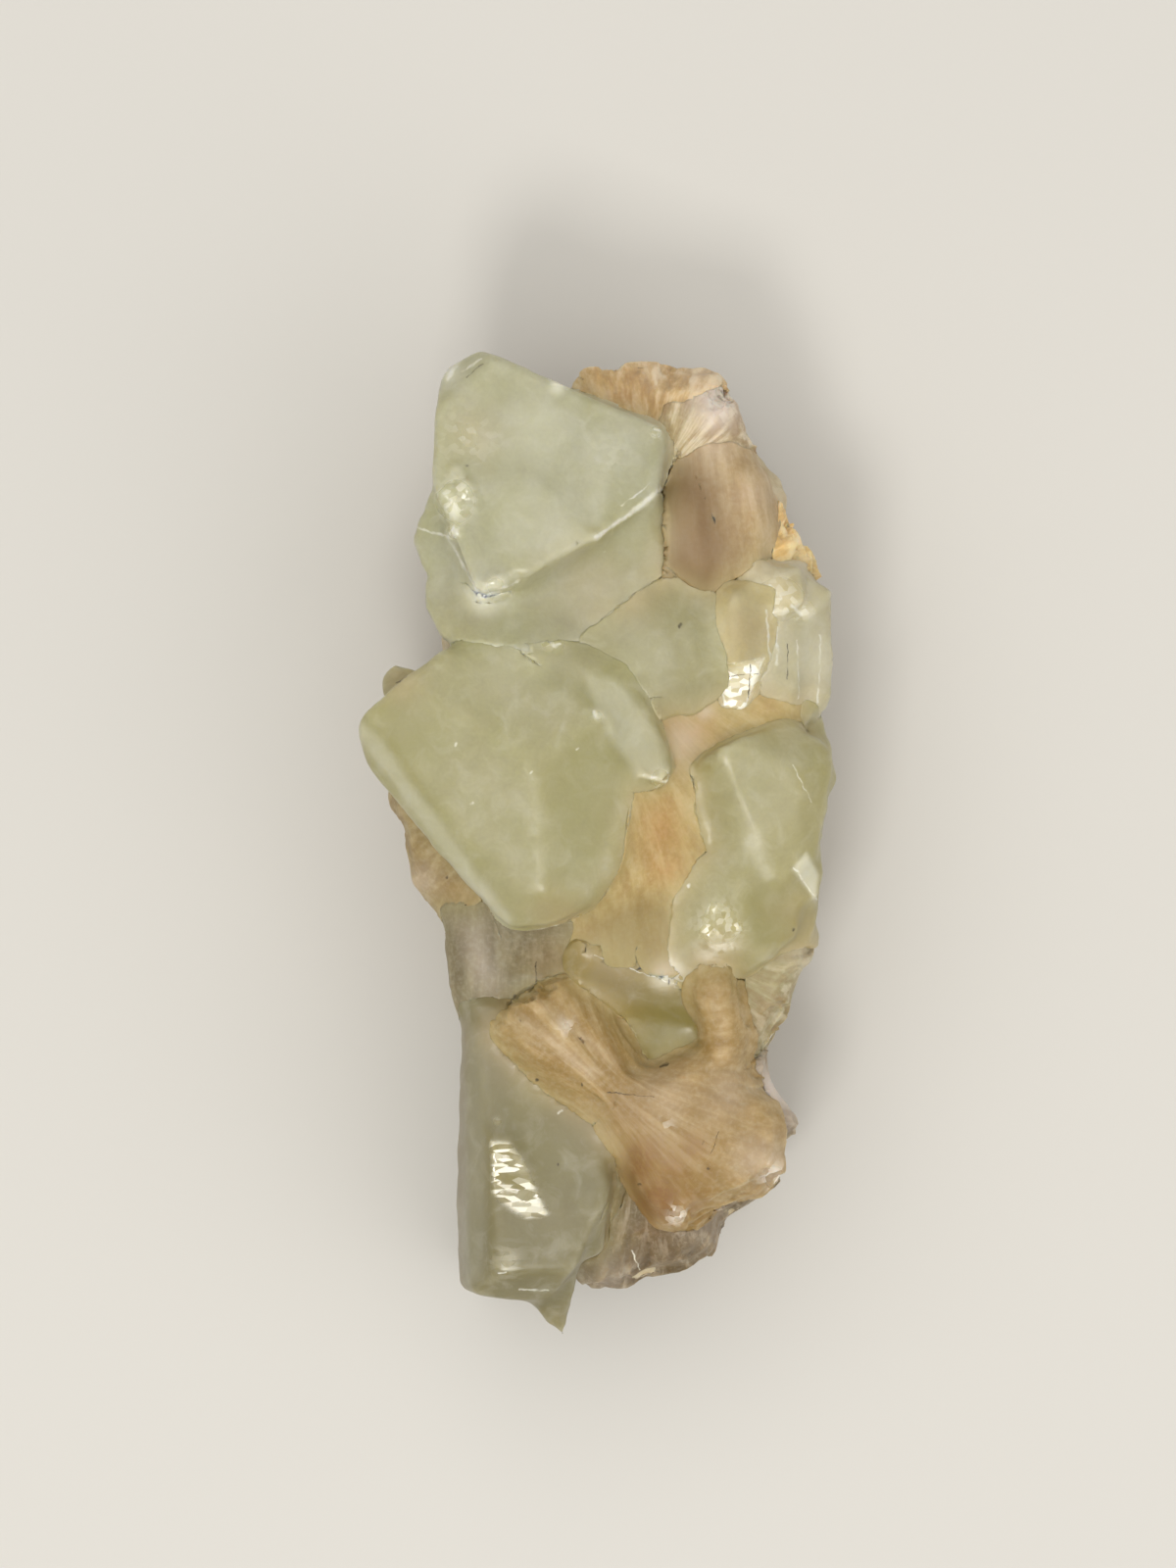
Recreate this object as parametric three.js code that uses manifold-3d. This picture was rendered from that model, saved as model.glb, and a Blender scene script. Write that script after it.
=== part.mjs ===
// A cluster of pale green apophyllite crystals and peach stilbite sheaves on their broken matrix.
//
// Millimetres. The cluster lies on its broken back: X runs across it, Y along it, +Z up out of its
// crystal side. Levels are heights above the surface it rests on. Directions in plan are azimuths
// in degrees, from +X towards +Y; a climb is an angle above the horizontal.
import * as THREE from "three";
import { ConvexGeometry } from "three/addons/geometries/ConvexGeometry.js";
import { ConvexHull } from "three/addons/math/ConvexHull.js";
import { mergeVertices } from "three/addons/utils/BufferGeometryUtils.js";
import Module from "manifold-3d";

const wasm = await Module();
wasm.setup();

// Driving dimensions.
const clusterLength = 101;
const clusterWidth = 49;
const contactGap = 0.3; // between neighbours that grew against each other
const matrixTop = 20; // the level of the broken mass under the crystals
const crystalRoot = matrixTop - 6; // crystals are rooted this deep in it

// ---------------------------------------------------------------- convex solids

const radians = THREE.MathUtils.degToRad;
const point = ([x, y, z]) => new THREE.Vector3(x, y, z);

/** The unit vector that looks along an azimuth, at a climb. */
function direction(azimuth, climb = 0) {
  const [a, c] = [radians(azimuth), radians(climb)];
  return new THREE.Vector3(Math.cos(a) * Math.cos(c), Math.sin(a) * Math.cos(c), Math.sin(c));
}

/** A flat face through a point, looking along an azimuth and a climb. */
const face = (at, azimuth, climb) =>
  new THREE.Plane().setFromNormalAndCoplanarPoint(direction(azimuth, climb), point(at));

/** The faces of the convex hull of some points, each plane once. */
function facesAround(points) {
  const sameWay = 0.9998; // cosine between triangles of one flat face
  const faces = [];
  for (const { normal, midpoint } of new ConvexHull().setFromPoints(points).faces) {
    if (faces.some((known) => known.normal.dot(normal) > sameWay)) continue;
    faces.push(new THREE.Plane().setFromNormalAndCoplanarPoint(normal, midpoint));
  }
  return faces;
}

/** Where three planes meet, or null where they are nearly parallel. */
function meetingPoint(a, b, c) {
  const bc = new THREE.Vector3().crossVectors(b.normal, c.normal);
  const leastVolume = 1e-3;
  const volume = a.normal.dot(bc);
  if (Math.abs(volume) < leastVolume) return null;
  const ca = new THREE.Vector3().crossVectors(c.normal, a.normal).multiplyScalar(b.constant);
  const ab = new THREE.Vector3().crossVectors(a.normal, b.normal).multiplyScalar(c.constant);
  return bc.multiplyScalar(a.constant).add(ca).add(ab).divideScalar(-volume);
}

/** The corners of the solid behind all of these faces, once each face has moved out by `growth`. */
function cornersBehind(faces, growth = 0) {
  const planes = faces.map((f) => new THREE.Plane(f.normal, f.constant - growth));
  const slack = 1e-4;
  const oneCorner = 0.06; // corners closer than this are one
  const corners = [];
  for (let i = 0; i < planes.length; i++)
    for (let j = i + 1; j < planes.length; j++)
      for (let k = j + 1; k < planes.length; k++) {
        const corner = meetingPoint(planes[i], planes[j], planes[k]);
        if (!corner || planes.some((p) => p.distanceToPoint(corner) > slack)) continue;
        if (corners.every((known) => known.distanceTo(corner) > oneCorner)) corners.push(corner);
      }
  return corners;
}

/** A closed geometry as a solid that can be joined and cut. */
function solidOf(geometry) {
  const bare = geometry.clone().deleteAttribute("normal").deleteAttribute("uv");
  const merged = mergeVertices(bare, 1e-3);
  return new wasm.Manifold(
    new wasm.Mesh({
      numProp: 3,
      vertProperties: merged.attributes.position.array,
      triVerts: new Uint32Array(merged.index.array),
    }),
  );
}

/** A convex crystal, as a function that gives its solid with each face moved out by a growth. */
const grower = (faces) => (growth) => solidOf(new ConvexGeometry(cornersBehind(faces, growth)));

// ---------------------------------------------------------------- habits

const middleOf = (corners) => {
  const sum = corners.reduce(([sx, sy], [x, y]) => [sx + x, sy + y], [0, 0]);
  return sum.map((s) => s / corners.length);
};

/** The level of the lowest of some upward faces over a place in plan. */
function levelOver(fronts, [x, y]) {
  const levels = fronts.map(({ normal, constant }) => -(constant + normal.x * x + normal.y * y) / normal.z);
  return Math.min(...levels);
}

/**
 * A blocky crystal: its front faces, the outline they have in plan, walls that fall from that
 * outline and lean in by `undercut` degrees, and the level of its root.
 */
function crystal({ outline, fronts, undercut = 6, root = crystalRoot }) {
  const [mx, my] = middleOf(outline);
  const walls = outline.map((a, i) => {
    const b = outline[(i + 1) % outline.length];
    const edge = [(a[0] + b[0]) / 2, (a[1] + b[1]) / 2];
    const out = new THREE.Vector2(b[1] - a[1], a[0] - b[0]);
    if (out.x * (edge[0] - mx) + out.y * (edge[1] - my) < 0) out.negate();
    const azimuth = THREE.MathUtils.radToDeg(out.angle());
    return face([...edge, levelOver(fronts, edge)], azimuth, -undercut);
  });
  return grower([...fronts, ...walls, face([mx, my, root], 0, -90)]);
}

/** Repeatable random numbers from 0 to 1. */
function chances(seed) {
  let state = seed;
  return () => {
    state = (state * 16807) % 2147483647;
    return state / 2147483647;
  };
}

/** A rounded, knobbly nodule about a point, with its own three radii, turned in plan. */
function nodule({ at, radii, turn = 0, seed = 7, rough = 0.1 }) {
  const chance = chances(seed);
  const rings = [[-90, 1], [-48, 6], [0, 7], [42, 6], [80, 3]]; // climb, and corners on that ring
  const upright = new THREE.Vector3(0, 0, 1);
  const points = [];
  for (const [climb, corners] of rings)
    for (let i = 0; i < corners; i++) {
      const spot = direction((360 * (i + 0.5 * chance())) / corners, climb).multiply(point(radii));
      spot.multiplyScalar(1 + rough * (chance() - 0.5)).applyAxisAngle(upright, radians(turn));
      points.push(spot.add(point(at)));
    }
  return grower(facesAround(points));
}

/**
 * A stilbite rod: a long crystal from one end to the other, a little narrower at both. `width` is
 * its breadth in plan where `roll` is 0, and `thick` its depth.
 */
function rod({ from, to, width, thick, roll = 0, blunt = 0.7 }) {
  const [start, end] = [point(from), point(to)];
  const along = end.clone().sub(start);
  const length = along.length();
  const axis = along.clone().normalize();
  const side = new THREE.Vector3(0, 0, 1).cross(axis).normalize().applyAxisAngle(axis, radians(roll));
  const up = axis.clone().cross(side).normalize();
  const points = [];
  const corners = [[1, -1], [1, 0.3], [0.5, 1], [-0.5, 1], [-1, 0.3], [-1, -1]];
  const section = (share, breadth, depth) => {
    for (const [s, u] of corners)
      points.push(
        start.clone()
          .addScaledVector(along, share)
          .addScaledVector(side, (s * breadth) / 2)
          .addScaledVector(up, (u * depth) / 2),
      );
  };
  const taper = Math.min(0.35, width / length);
  section(0, width * blunt, thick * blunt);
  section(taper, width, thick);
  section(1 - taper, width, thick);
  section(1, width * blunt, thick * blunt);
  return grower(facesAround(points));
}

/**
 * A rounded sheaf of fine blades that spread from its summit: a bedded foot, the rim, a shoulder and
 * the crown. The rim runs through the outline, and every second point of it lies in a groove.
 */
function sheaf({ outline, summit, crown, rim, root = crystalRoot, foot = 0.8, ribs = 10, groove = 0.35 }) {
  const loop = new THREE.CatmullRomCurve3(outline.map(([x, y]) => new THREE.Vector3(x, y, 0)), true);
  const spots = loop.getSpacedPoints(2 * ribs).slice(1);
  if (THREE.ShapeUtils.area(spots) < 0) spots.reverse();
  const middle = new THREE.Vector3(...summit, 0);
  // Each ring: its share of the way out to the outline, and of the rise from the rim to the crown.
  const rings = [
    { share: foot, level: root, bedded: true },
    { share: 1, level: rim },
    { share: 0.86, level: THREE.MathUtils.lerp(rim, crown, 0.55) },
    { share: 0.5, level: THREE.MathUtils.lerp(rim, crown, 0.9), smooth: true },
  ];
  return (growth) => {
    const corners = [];
    for (const { share, level, bedded, smooth } of rings)
      spots.forEach((spot, i) => {
        const out = spot.clone().sub(middle);
        const sunk = i % 2 && !bedded && !smooth ? groove : 0;
        out.setLength(out.length() * share - sunk + growth);
        corners.push(out.x + middle.x, out.y + middle.y, level + (bedded ? -growth : growth - sunk));
      });
    const [bottom, top] = [corners.length / 3, corners.length / 3 + 1];
    corners.push(...summit, root - growth, ...summit, crown + growth);
    const around = spots.length;
    const triangles = [];
    for (let i = 0; i < around; i++) {
      const j = (i + 1) % around;
      triangles.push(bottom, j, i);
      for (let k = 0; k < rings.length - 1; k++) {
        const [low, high] = [k * around, (k + 1) * around];
        triangles.push(low + i, low + j, high + j, low + i, high + j, high + i);
      }
      triangles.push((rings.length - 1) * around + i, (rings.length - 1) * around + j, top);
    }
    const geometry = new THREE.BufferGeometry();
    geometry.setAttribute("position", new THREE.Float32BufferAttribute(corners, 3));
    geometry.setIndex(triangles);
    return solidOf(geometry);
  };
}

/** Small blocky crystals along a line of places, each turned and sized a little differently. */
function druse({ line, count, size, levels, seed }) {
  const chance = chances(seed);
  const path = new THREE.CatmullRomCurve3(line.map(([x, y]) => new THREE.Vector3(x, y, 0)));
  const crystals = [];
  for (let i = 0; i < count; i++) {
    const spot = path.getPointAt(i / (count - 1));
    const half = THREE.MathUtils.lerp(...size, chance()) / 2;
    const level = THREE.MathUtils.lerp(...levels, chance());
    const turn = 90 * chance();
    const [tipAzimuth, tipClimb] = [360 * chance(), 62 + 22 * chance()];
    const outline = [0, 90, 180, 270].map((quarter) => {
      const corner = direction(turn + quarter).multiplyScalar(half * Math.SQRT2);
      return [spot.x + corner.x, spot.y + corner.y];
    });
    crystals.push(
      crystal({
        outline,
        fronts: [
          face([spot.x, spot.y, level], tipAzimuth, tipClimb),
          face([spot.x, spot.y, level + 0.3 * half], tipAzimuth + 150, 50),
        ],
        undercut: 3,
      }),
    );
  }
  return crystals;
}

// ---------------------------------------------------------------- apophyllite

/** The tall crystal at the upper left: a broad square front over a smooth sloping shoulder. */
function upperApophyllite() {
  const frontCorner = [-0.3, 31.3, 36.2];
  const front = crystal({
    outline: [
      [-12.0, 50.4], [7.5, 42.0], [6.5, 36.3], [-0.2, 31.3], [-8.0, 26.9],
      [-11.8, 25.4], [-16.6, 36.5], [-16.4, 43.2], [-15.6, 48.0],
    ],
    fronts: [
      face(frontCorner, 108, 84),
      face(frontCorner, 12, 79),
      face([-14.2, 48.4, 32.0], 130, 38),
    ],
    undercut: 4,
  });
  const terrace = crystal({
    outline: [
      [-11.4, 34.6], [-9.6, 36.9], [-6.5, 37.4], [-0.9, 32.0], [-0.3, 31.5], [-7.9, 27.1], [-9.0, 28.4],
    ],
    fronts: [face([-5, 32, 36.6], 105, 84.5)],
    undercut: -20,
    root: 33,
  });
  const lowerShoulder = crystal({
    outline: [
      [-17.4, 27.2], [-17.5, 24.0], [-15.0, 20.9], [-5.0, 19.7], [-1.7, 20.1],
      [6.2, 27.9], [6.4, 35.6], [-8.0, 31.5],
    ],
    fronts: [face([-3, 29.2, 33.8], -70, 67), face([-14, 27, 32.0], -140, 66)],
    undercut: 3,
  });
  const leftCorner = crystal({
    outline: [[-19.1, 31.7], [-18.2, 33.2], [-16.4, 37.2], [-11, 36], [-10.5, 27], [-17.5, 27.6]],
    fronts: [face([-16, 32, 32.6], 205, 62)],
    undercut: 12,
  });
  return [front, terrace, lowerShoulder, leftCorner];
}

/** The largest crystal: a low three-sided point, a plate grown along its right, and a small knob. */
function middleApophyllite() {
  const tip = [-6.2, 8.4, 39.4];
  const main = crystal({
    outline: [
      [-24.4, 12.2], [-23.5, 8.6], [-21.3, 5.4], [-10.9, -6.8], [-8.6, -9.0], [-1.0, -7.0], [2.6, -2.5],
      [3.3, 4.0], [1.6, 12.6], [-6.5, 18.2], [-11.0, 20.0], [-15.4, 19.6], [-19.5, 16.9], [-23.7, 13.4],
    ],
    fronts: [
      face(tip, 204, 77), // left
      face(tip, -12, 74), // right
      face(tip, 84, 73), // upper
      face([-17.4, 3.2, 35.4], 215, 40), // bevel along the lower left edge
      face([-4.0, -7.6, 36.0], -84, 52), // lower
    ],
    undercut: 10,
  });
  const plate = crystal({
    outline: [
      [-8.0, 14.5], [-2.0, 8.0], [2.9, 6.0], [7.8, 6.5], [7.7, 8.6],
      [6.2, 12.4], [2.6, 18.3], [-1.9, 19.9], [-7.5, 20.1],
    ],
    fronts: [face([0.3, 13.2, 36.6], 30, 70), face([-3.0, 17.5, 36.0], 110, 74)],
    undercut: 14,
  });
  const knob = crystal({
    outline: [[-22.0, 15.0], [-21.9, 17.3], [-20.7, 18.5], [-19.2, 18.3], [-16.0, 17.2], [-18.6, 12.5]],
    fronts: [face([-20, 16.4, 31.5], 140, 66)],
    undercut: 14,
  });
  return [main, plate, knob];
}

/** The small square crystal in the saddle between the two large ones. */
function saddleApophyllite() {
  return [
    crystal({
      outline: [
        [4.6, 12.4], [9.9, 14.0], [13.4, 16.6], [13.6, 24.6], [7.6, 28.2], [-2.2, 20.4], [-0.4, 15.6],
      ],
      fronts: [
        face([5.5, 20, 33.2], 14, 78),
        face([8.8, 16.0, 31.9], -58, 58),
        face([2.2, 24.2, 32.6], 130, 66),
        face([9.6, 22.8, 31.6], 40, 62),
      ],
      undercut: 8,
    }),
  ];
}

/** The crystals down the right side, grown into each other, with a crust of small ones at the rim. */
function rightApophyllite() {
  const ridge = [14.2, 6.4, 33.4];
  const roof = crystal({
    outline: [
      [9.6, 7.8], [10.4, -1.8], [12.8, -5.6], [17.8, -5.2], [22.6, -1.0],
      [23.9, 6.4], [24.2, 8.9], [23.2, 10.6], [19.2, 12.8], [12.8, 10.0],
    ],
    fronts: [
      face(ridge, -25, 74),
      face(ridge, 226, 62),
      face([21.2, 9.5, 30.1], 40, 50),
      face([21.4, 2.0, 30.4], -10, 48),
    ],
    undercut: 8,
  });
  const etched = crystal({
    outline: [
      [8.4, -4.6], [7.6, -12.4], [15.6, -13.2], [20.6, -9.2],
      [20.8, -6.0], [18.4, -1.6], [14.8, -1.0], [10.5, -1.4],
    ],
    fronts: [
      face([14.9, -8, 31.6], 6, 66),
      face([14.9, -8, 31.6], 170, 82),
      face([12, -11.6, 30.6], -95, 52),
    ],
    undercut: 8,
  });
  const edgeCrystal = crystal({
    outline: [[19.4, -1.9], [20.9, 0.3], [22.4, 0.0], [22.9, -3.3], [22.7, -5.6], [20.2, -6.4]],
    fronts: [face([21.5, -2.8, 28.4], 12, 52)],
    undercut: 6,
  });
  const cornerCrystal = crystal({
    outline: [[19.0, -4.5], [22.6, -4.8], [22.7, -7.0], [22.2, -9.8], [18.2, -11.0]],
    fronts: [face([20.6, -8, 27.0], -30, 58)],
    undercut: 10,
  });
  const rim = [
    [20.6, 13.6], [22.0, 10.6], [22.2, 6.6], [21.5, 2.6], [20.8, -1.4], [20.8, -5.0], [20.8, -8.6],
  ];
  const crust = druse({ line: rim, count: 10, size: [2.8, 3.6], levels: [22, 27], seed: 151 });
  return [roof, etched, edgeCrystal, cornerCrystal, ...crust];
}

/** The clear shard that ends in one bright slanting face. */
function shardApophyllite() {
  return [
    crystal({
      outline: [[13.0, 26.4], [12.1, 18.0], [12.9, 14.1], [15.1, 13.9], [17.3, 19.0], [18.0, 26.0]],
      fronts: [
        face([14.8, 18.4, 32.2], -82, 55),
        face([14.2, 20, 32.1], 170, 72),
        face([14.2, 20, 32.1], 5, 62),
      ],
      undercut: 2,
    }),
  ];
}

/** The glassy heads at the upper right and the long upright blades under them. */
function sideApophyllite() {
  const innerBlade = crystal({
    outline: [[16.4, 26.0], [16.4, 15.6], [20.5, 14.4], [20.9, 26.0]],
    fronts: [face([18.6, 20, 29.2], 15, 66), face([19, 15.4, 28.6], -80, 50)],
    undercut: 2,
  });
  const outerBlade = crystal({
    outline: [
      [19.9, 26.6], [19.9, 13.6], [22.4, 12.8], [23.8, 14.6], [24.1, 20.4], [23.7, 25.6], [22.8, 26.6],
    ],
    fronts: [face([20.8, 20, 27.4], 0, 56), face([22, 14.8, 25.6], -75, 45)],
    undercut: 4,
  });
  const heads = [
    { at: [16.6, 27.0], half: 1.7, level: 30.2, turn: 20 },
    { at: [19.0, 26.2], half: 2.0, level: 29.8, turn: 52 },
    { at: [21.3, 25.2], half: 1.9, level: 27.6, turn: 10 },
    { at: [17.8, 24.6], half: 1.4, level: 30.4, turn: 70 },
  ].map(({ at: [x, y], half, level, turn }) =>
    crystal({
      outline: [0, 90, 180, 270].map((quarter) => {
        const corner = direction(turn + quarter).multiplyScalar(half * Math.SQRT2);
        return [x + corner.x, y + corner.y];
      }),
      fronts: [face([x, y, level], turn, 70), face([x, y, level + 0.2], turn + 130, 58)],
      undercut: 0,
    }),
  );
  return [innerBlade, outerBlade, ...heads];
}

/** The tall block at the lower left, with a raised bright panel, a side step and a tooth. */
function lowerApophyllite() {
  const block = crystal({
    outline: [
      [-13.9, -45.7], [-9.0, -46.6], [-4.8, -46.6], [-1.9, -42.4], [0.9, -35.4],
      [-0.2, -24.0], [-4.0, -17.0], [-13.4, -16.0], [-14.3, -35.7],
    ],
    fronts: [
      face([-6, -32, 29.6], 60, 85),
      face([-11.2, -33, 29.4], 181, 38), // the pale strip along the left
      face([-12.9, -33, 27.4], 181, 14),
      face([-7, -45.4, 28.2], -86, 40),
    ],
    undercut: 3,
    root: 0,
  });
  const brightPanel = crystal({
    outline: [[-10.8, -30.0], [-10.6, -36.0], [-7.8, -38.4], [-5.0, -38.4], [-6.0, -34.0], [-8.6, -30.0]],
    fronts: [face([-7.8, -34.5, 30.0], -110, 86)],
    undercut: -25,
    root: 27,
  });
  const sideStep = crystal({
    outline: [[-3.6, -34.0], [1.0, -33.4], [0.7, -41.6], [-1.8, -42.4], [-3.8, -40.0]],
    fronts: [face([-1.2, -37.5, 28.4], -20, 80)],
    undercut: 4,
    root: 12,
  });
  const tooth = crystal({
    outline: [[-7.3, -46.2], [-4.0, -50.3], [-3.3, -50.5], [-2.4, -48.6], [-1.8, -42.0], [-7.0, -42.5]],
    fronts: [face([-4.2, -45.6, 26.0], -62, 64), face([-4.2, -45.6, 26.0], -150, 62)],
    undercut: 20,
    root: 12,
  });
  return [block, brightPanel, sideStep, tooth];
}

/** The wedge held behind the bow-tie, with a ledge across its front. */
function wedgeApophyllite() {
  const front = crystal({
    outline: [[-1.9, -10.4], [-1.9, -16.0], [1.9, -16.8], [12.4, -18.0], [12.4, -15.7]],
    fronts: [face([4.4, -16.4, 27.8], -72, 66)],
    undercut: 4,
  });
  const ledge = crystal({
    outline: [[-1.9, -15.0], [12.4, -17.0], [12.4, -23.0], [3.0, -24.4], [-2.6, -20.0]],
    fronts: [face([4.4, -19.5, 26.2], -60, 80)],
    undercut: 4,
  });
  return [front, ledge];
}

// ---------------------------------------------------------------- stilbite

/** The tan fan behind the upper crystal. */
function crestStilbite() {
  return [
    sheaf({
      outline: [
        [-2.6, 46.6], [-1.6, 48.4], [1.0, 48.6], [4.8, 49.7], [8.9, 48.9], [12.4, 48.6],
        [14.0, 46.8], [13, 42], [6, 38], [0.5, 42],
      ],
      summit: [5.6, 43.4],
      crown: 30.4,
      rim: 24.0,
      ribs: 13,
    }),
  ];
}

/** The white fan under the crest. */
function whiteStilbite() {
  return [
    sheaf({
      outline: [
        [6.2, 42.6], [7.6, 45.6], [10.0, 46.7], [13.6, 46.7], [15.2, 44.6], [15.7, 42.4],
        [16.6, 40.6], [13.4, 38.2], [8.6, 38.6],
      ],
      summit: [8.8, 41.6],
      crown: 31.0,
      rim: 25.2,
      ribs: 11,
    }),
  ];
}

/** The big closed sheaf at the upper right: a darker rounded end beside a paler bundle. */
function upperSheaf() {
  return [
    sheaf({
      outline: [[8.6, 43.0], [13.2, 42.2], [17.6, 37.6], [18.2, 32.0], [17.4, 27.6], [13.0, 25.0], [10, 33]],
      summit: [13.6, 35.4],
      crown: 32.2,
      rim: 24.6,
      ribs: 8,
      groove: 0.2,
    }),
    sheaf({
      outline: [
        [8.4, 41.2], [10.4, 38.8], [12.1, 34.4], [13.8, 29.6], [14.2, 27.0], [11.6, 24.2],
        [7.4, 25.4], [5.6, 29.2], [6.4, 35.0], [7.2, 39.0],
      ],
      summit: [9.2, 32.4],
      crown: 33.0,
      rim: 26.0,
      ribs: 9,
      groove: 0.15,
    }),
  ];
}

/** The orange blades that step down the upper right rim. */
function rimStilbite() {
  return [
    sheaf({
      outline: [
        [16.4, 40.0], [17.5, 37.8], [18.4, 35.5], [19.2, 34.8], [19.9, 32.9], [20.7, 32.0], [21.5, 31.3],
        [21.9, 29.1], [22.8, 26.7], [23.4, 25.6], [19.6, 25.6], [16.4, 31.0],
      ],
      summit: [17.6, 30.4],
      crown: 27.0,
      rim: 21.0,
      ribs: 12,
      groove: 0.45,
    }),
  ];
}

/** The orange sheaves that fill the middle, between the green crystals. */
function centreStilbite() {
  return [
    sheaf({
      outline: [
        [4.6, 13.0], [8.6, 17.2], [13.4, 18.4], [18.0, 19.6], [21.0, 15.2], [20.6, 10.6],
        [15.4, 7.6], [9.6, 4.6], [5.4, 8.0],
      ],
      summit: [11.8, 12.2],
      crown: 30.0,
      rim: 26.6,
      ribs: 9,
      groove: 0.2,
    }),
    sheaf({
      outline: [
        [1.4, 8.0], [5.4, 9.4], [10.6, 9.0], [12.4, 3.6], [12.0, -1.2], [11.6, -4.4],
        [6.4, -6.6], [2.4, -8.6], [-2.6, -8.4], [-2.0, -3.4], [0.6, 1.0],
      ],
      summit: [6.2, 0.6],
      crown: 31.6,
      rim: 28.0,
      ribs: 11,
      groove: 0.2,
    }),
    sheaf({
      outline: [
        [-1.4, -5.0], [5.6, -4.0], [10.6, -6.0], [11.0, -13.0], [7.6, -13.6], [2.6, -11.9], [-2.2, -10.2],
      ],
      summit: [4.8, -8.8],
      crown: 30.0,
      rim: 27.6,
      ribs: 8,
      groove: 0.15,
    }),
  ];
}

/** The rounded lobe that shows under the lower left of the largest crystal. */
function leftStilbite() {
  return [
    sheaf({
      outline: [
        [-21.6, 5.6], [-20.0, 2.0], [-19.2, -2.0], [-19.0, -3.7], [-17.4, -6.1], [-15.6, -8.0],
        [-12.4, -9.4], [-9.6, -7.6], [-12, -1], [-17, 7],
      ],
      summit: [-14.6, -1.4],
      crown: 24.6,
      rim: 18.4,
      root: 9,
      ribs: 11,
      groove: 0.3,
    }),
  ];
}

/** Upright pale blades between the left lobe and the lower block. */
function uprightStilbite() {
  return [
    crystal({
      outline: [
        [-15.5, -6.0], [-15.7, -9.5], [-15.0, -14.0], [-13.9, -18.6], [-12.6, -22.4],
        [-10.0, -22.0], [-9.0, -15.0], [-9.4, -6.0],
      ],
      fronts: [face([-12.6, -12, 27.6], 184, 52), face([-12.6, -12, 27.6], 20, 74)],
      undercut: 4,
    }),
    crystal({
      outline: [[-9.8, -5.5], [-9.8, -19.0], [-5.9, -20.0], [-6.0, -5.5]],
      fronts: [face([-8, -11, 27.4], -110, 80)],
      undercut: 2,
    }),
    crystal({
      outline: [[-6.6, -5.5], [-6.6, -20.0], [-1.2, -20.0], [-1.2, -5.5]],
      fronts: [face([-4, -11, 26.8], -75, 78)],
      undercut: 2,
    }),
  ];
}

/** The bow-tie sheaf across the lower part: rods to one side of its waist, a wide fan to the other. */
function bowTieStilbite() {
  return [
    rod({ from: [-4.4, -14.2, 28.8], to: [3.4, -24.6, 28.4], width: 4.6, thick: 7, roll: 22 }),
    rod({ from: [-7.4, -15.4, 29.4], to: [1.8, -26.0, 28.8], width: 4.4, thick: 7, roll: 4 }),
    rod({ from: [-9.6, -18.0, 28.6], to: [0.6, -26.8, 28.0], width: 4.4, thick: 7, roll: -20 }),
    sheaf({
      outline: [
        [-1.0, -26.4], [1.6, -23.0], [5.2, -22.6], [9.6, -20.8], [13.2, -19.6], [15.4, -22.6],
        [17.6, -25.8], [19.5, -27.0], [19.8, -30.6], [19.6, -33.4], [18.4, -35.6], [15.6, -37.0],
        [12.2, -38.2], [7.6, -38.6], [4.4, -36.2], [1.4, -31.6], [-0.9, -29.4],
      ],
      summit: [5.6, -27.6],
      crown: 31.6,
      rim: 25.0,
      root: 14,
      ribs: 17,
      groove: 0.4,
    }),
    sheaf({
      outline: [[4.6, -31.6], [11.2, -31.4], [12.8, -35.6], [10.4, -39.0], [6.8, -39.4], [4.2, -36.6]],
      summit: [8.2, -34.8],
      crown: 29.0,
      rim: 22.0,
      root: 14,
      ribs: 7,
      groove: 0.15,
    }),
    rod({ from: [12.2, -11.3, 27.6], to: [13.2, -22.4, 28.0], width: 4.0, thick: 7, roll: 10, blunt: 0.8 }),
  ];
}

/** The pale plates that spread from under the bow-tie to the lower right rim. */
function skirtStilbite() {
  return [
    sheaf({
      outline: [
        [-2.0, -38.0], [-1.9, -45.4], [0.8, -46.1], [3.2, -45.9], [5.2, -44.7], [7.2, -44.5], [8.4, -44.8],
        [9.8, -43.6], [11.4, -43.0], [12.5, -41.4], [13.2, -39.2], [14.0, -37.7], [15.4, -37.7],
        [16.0, -36.4], [19.2, -35.4], [19.6, -31.0], [12, -28], [2, -31],
      ],
      summit: [6.0, -34.6],
      crown: 25.0,
      rim: 15.0,
      root: 3,
      ribs: 18,
      groove: 0.4,
    }),
    sheaf({
      outline: [
        [13.0, -20.4], [16.4, -21.2], [17.0, -23.6], [17.8, -25.6], [19.6, -26.8], [19.6, -31], [12, -29],
      ],
      summit: [14.4, -25.4],
      crown: 25.0,
      rim: 19.0,
      root: 6,
      ribs: 7,
      groove: 0.3,
    }),
  ];
}

/** The curved pale plates on the right rim, above the skirt. */
function rightPlates() {
  return [
    sheaf({
      outline: [
        [19.0, -8.6], [22.0, -8.8], [23.1, -9.6], [23.0, -10.8], [22.1, -12.1], [20.8, -13.4], [20.2, -16.4],
        [19.4, -18.4], [17.6, -20.2], [16.4, -21.4], [11.8, -21.0], [11.4, -13.0], [14.6, -9.4],
      ],
      summit: [17.2, -14.0],
      crown: 27.6,
      rim: 21.6,
      root: 10,
      ribs: 12,
      groove: 0.4,
    }),
  ];
}

// ---------------------------------------------------------------- matrix

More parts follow.
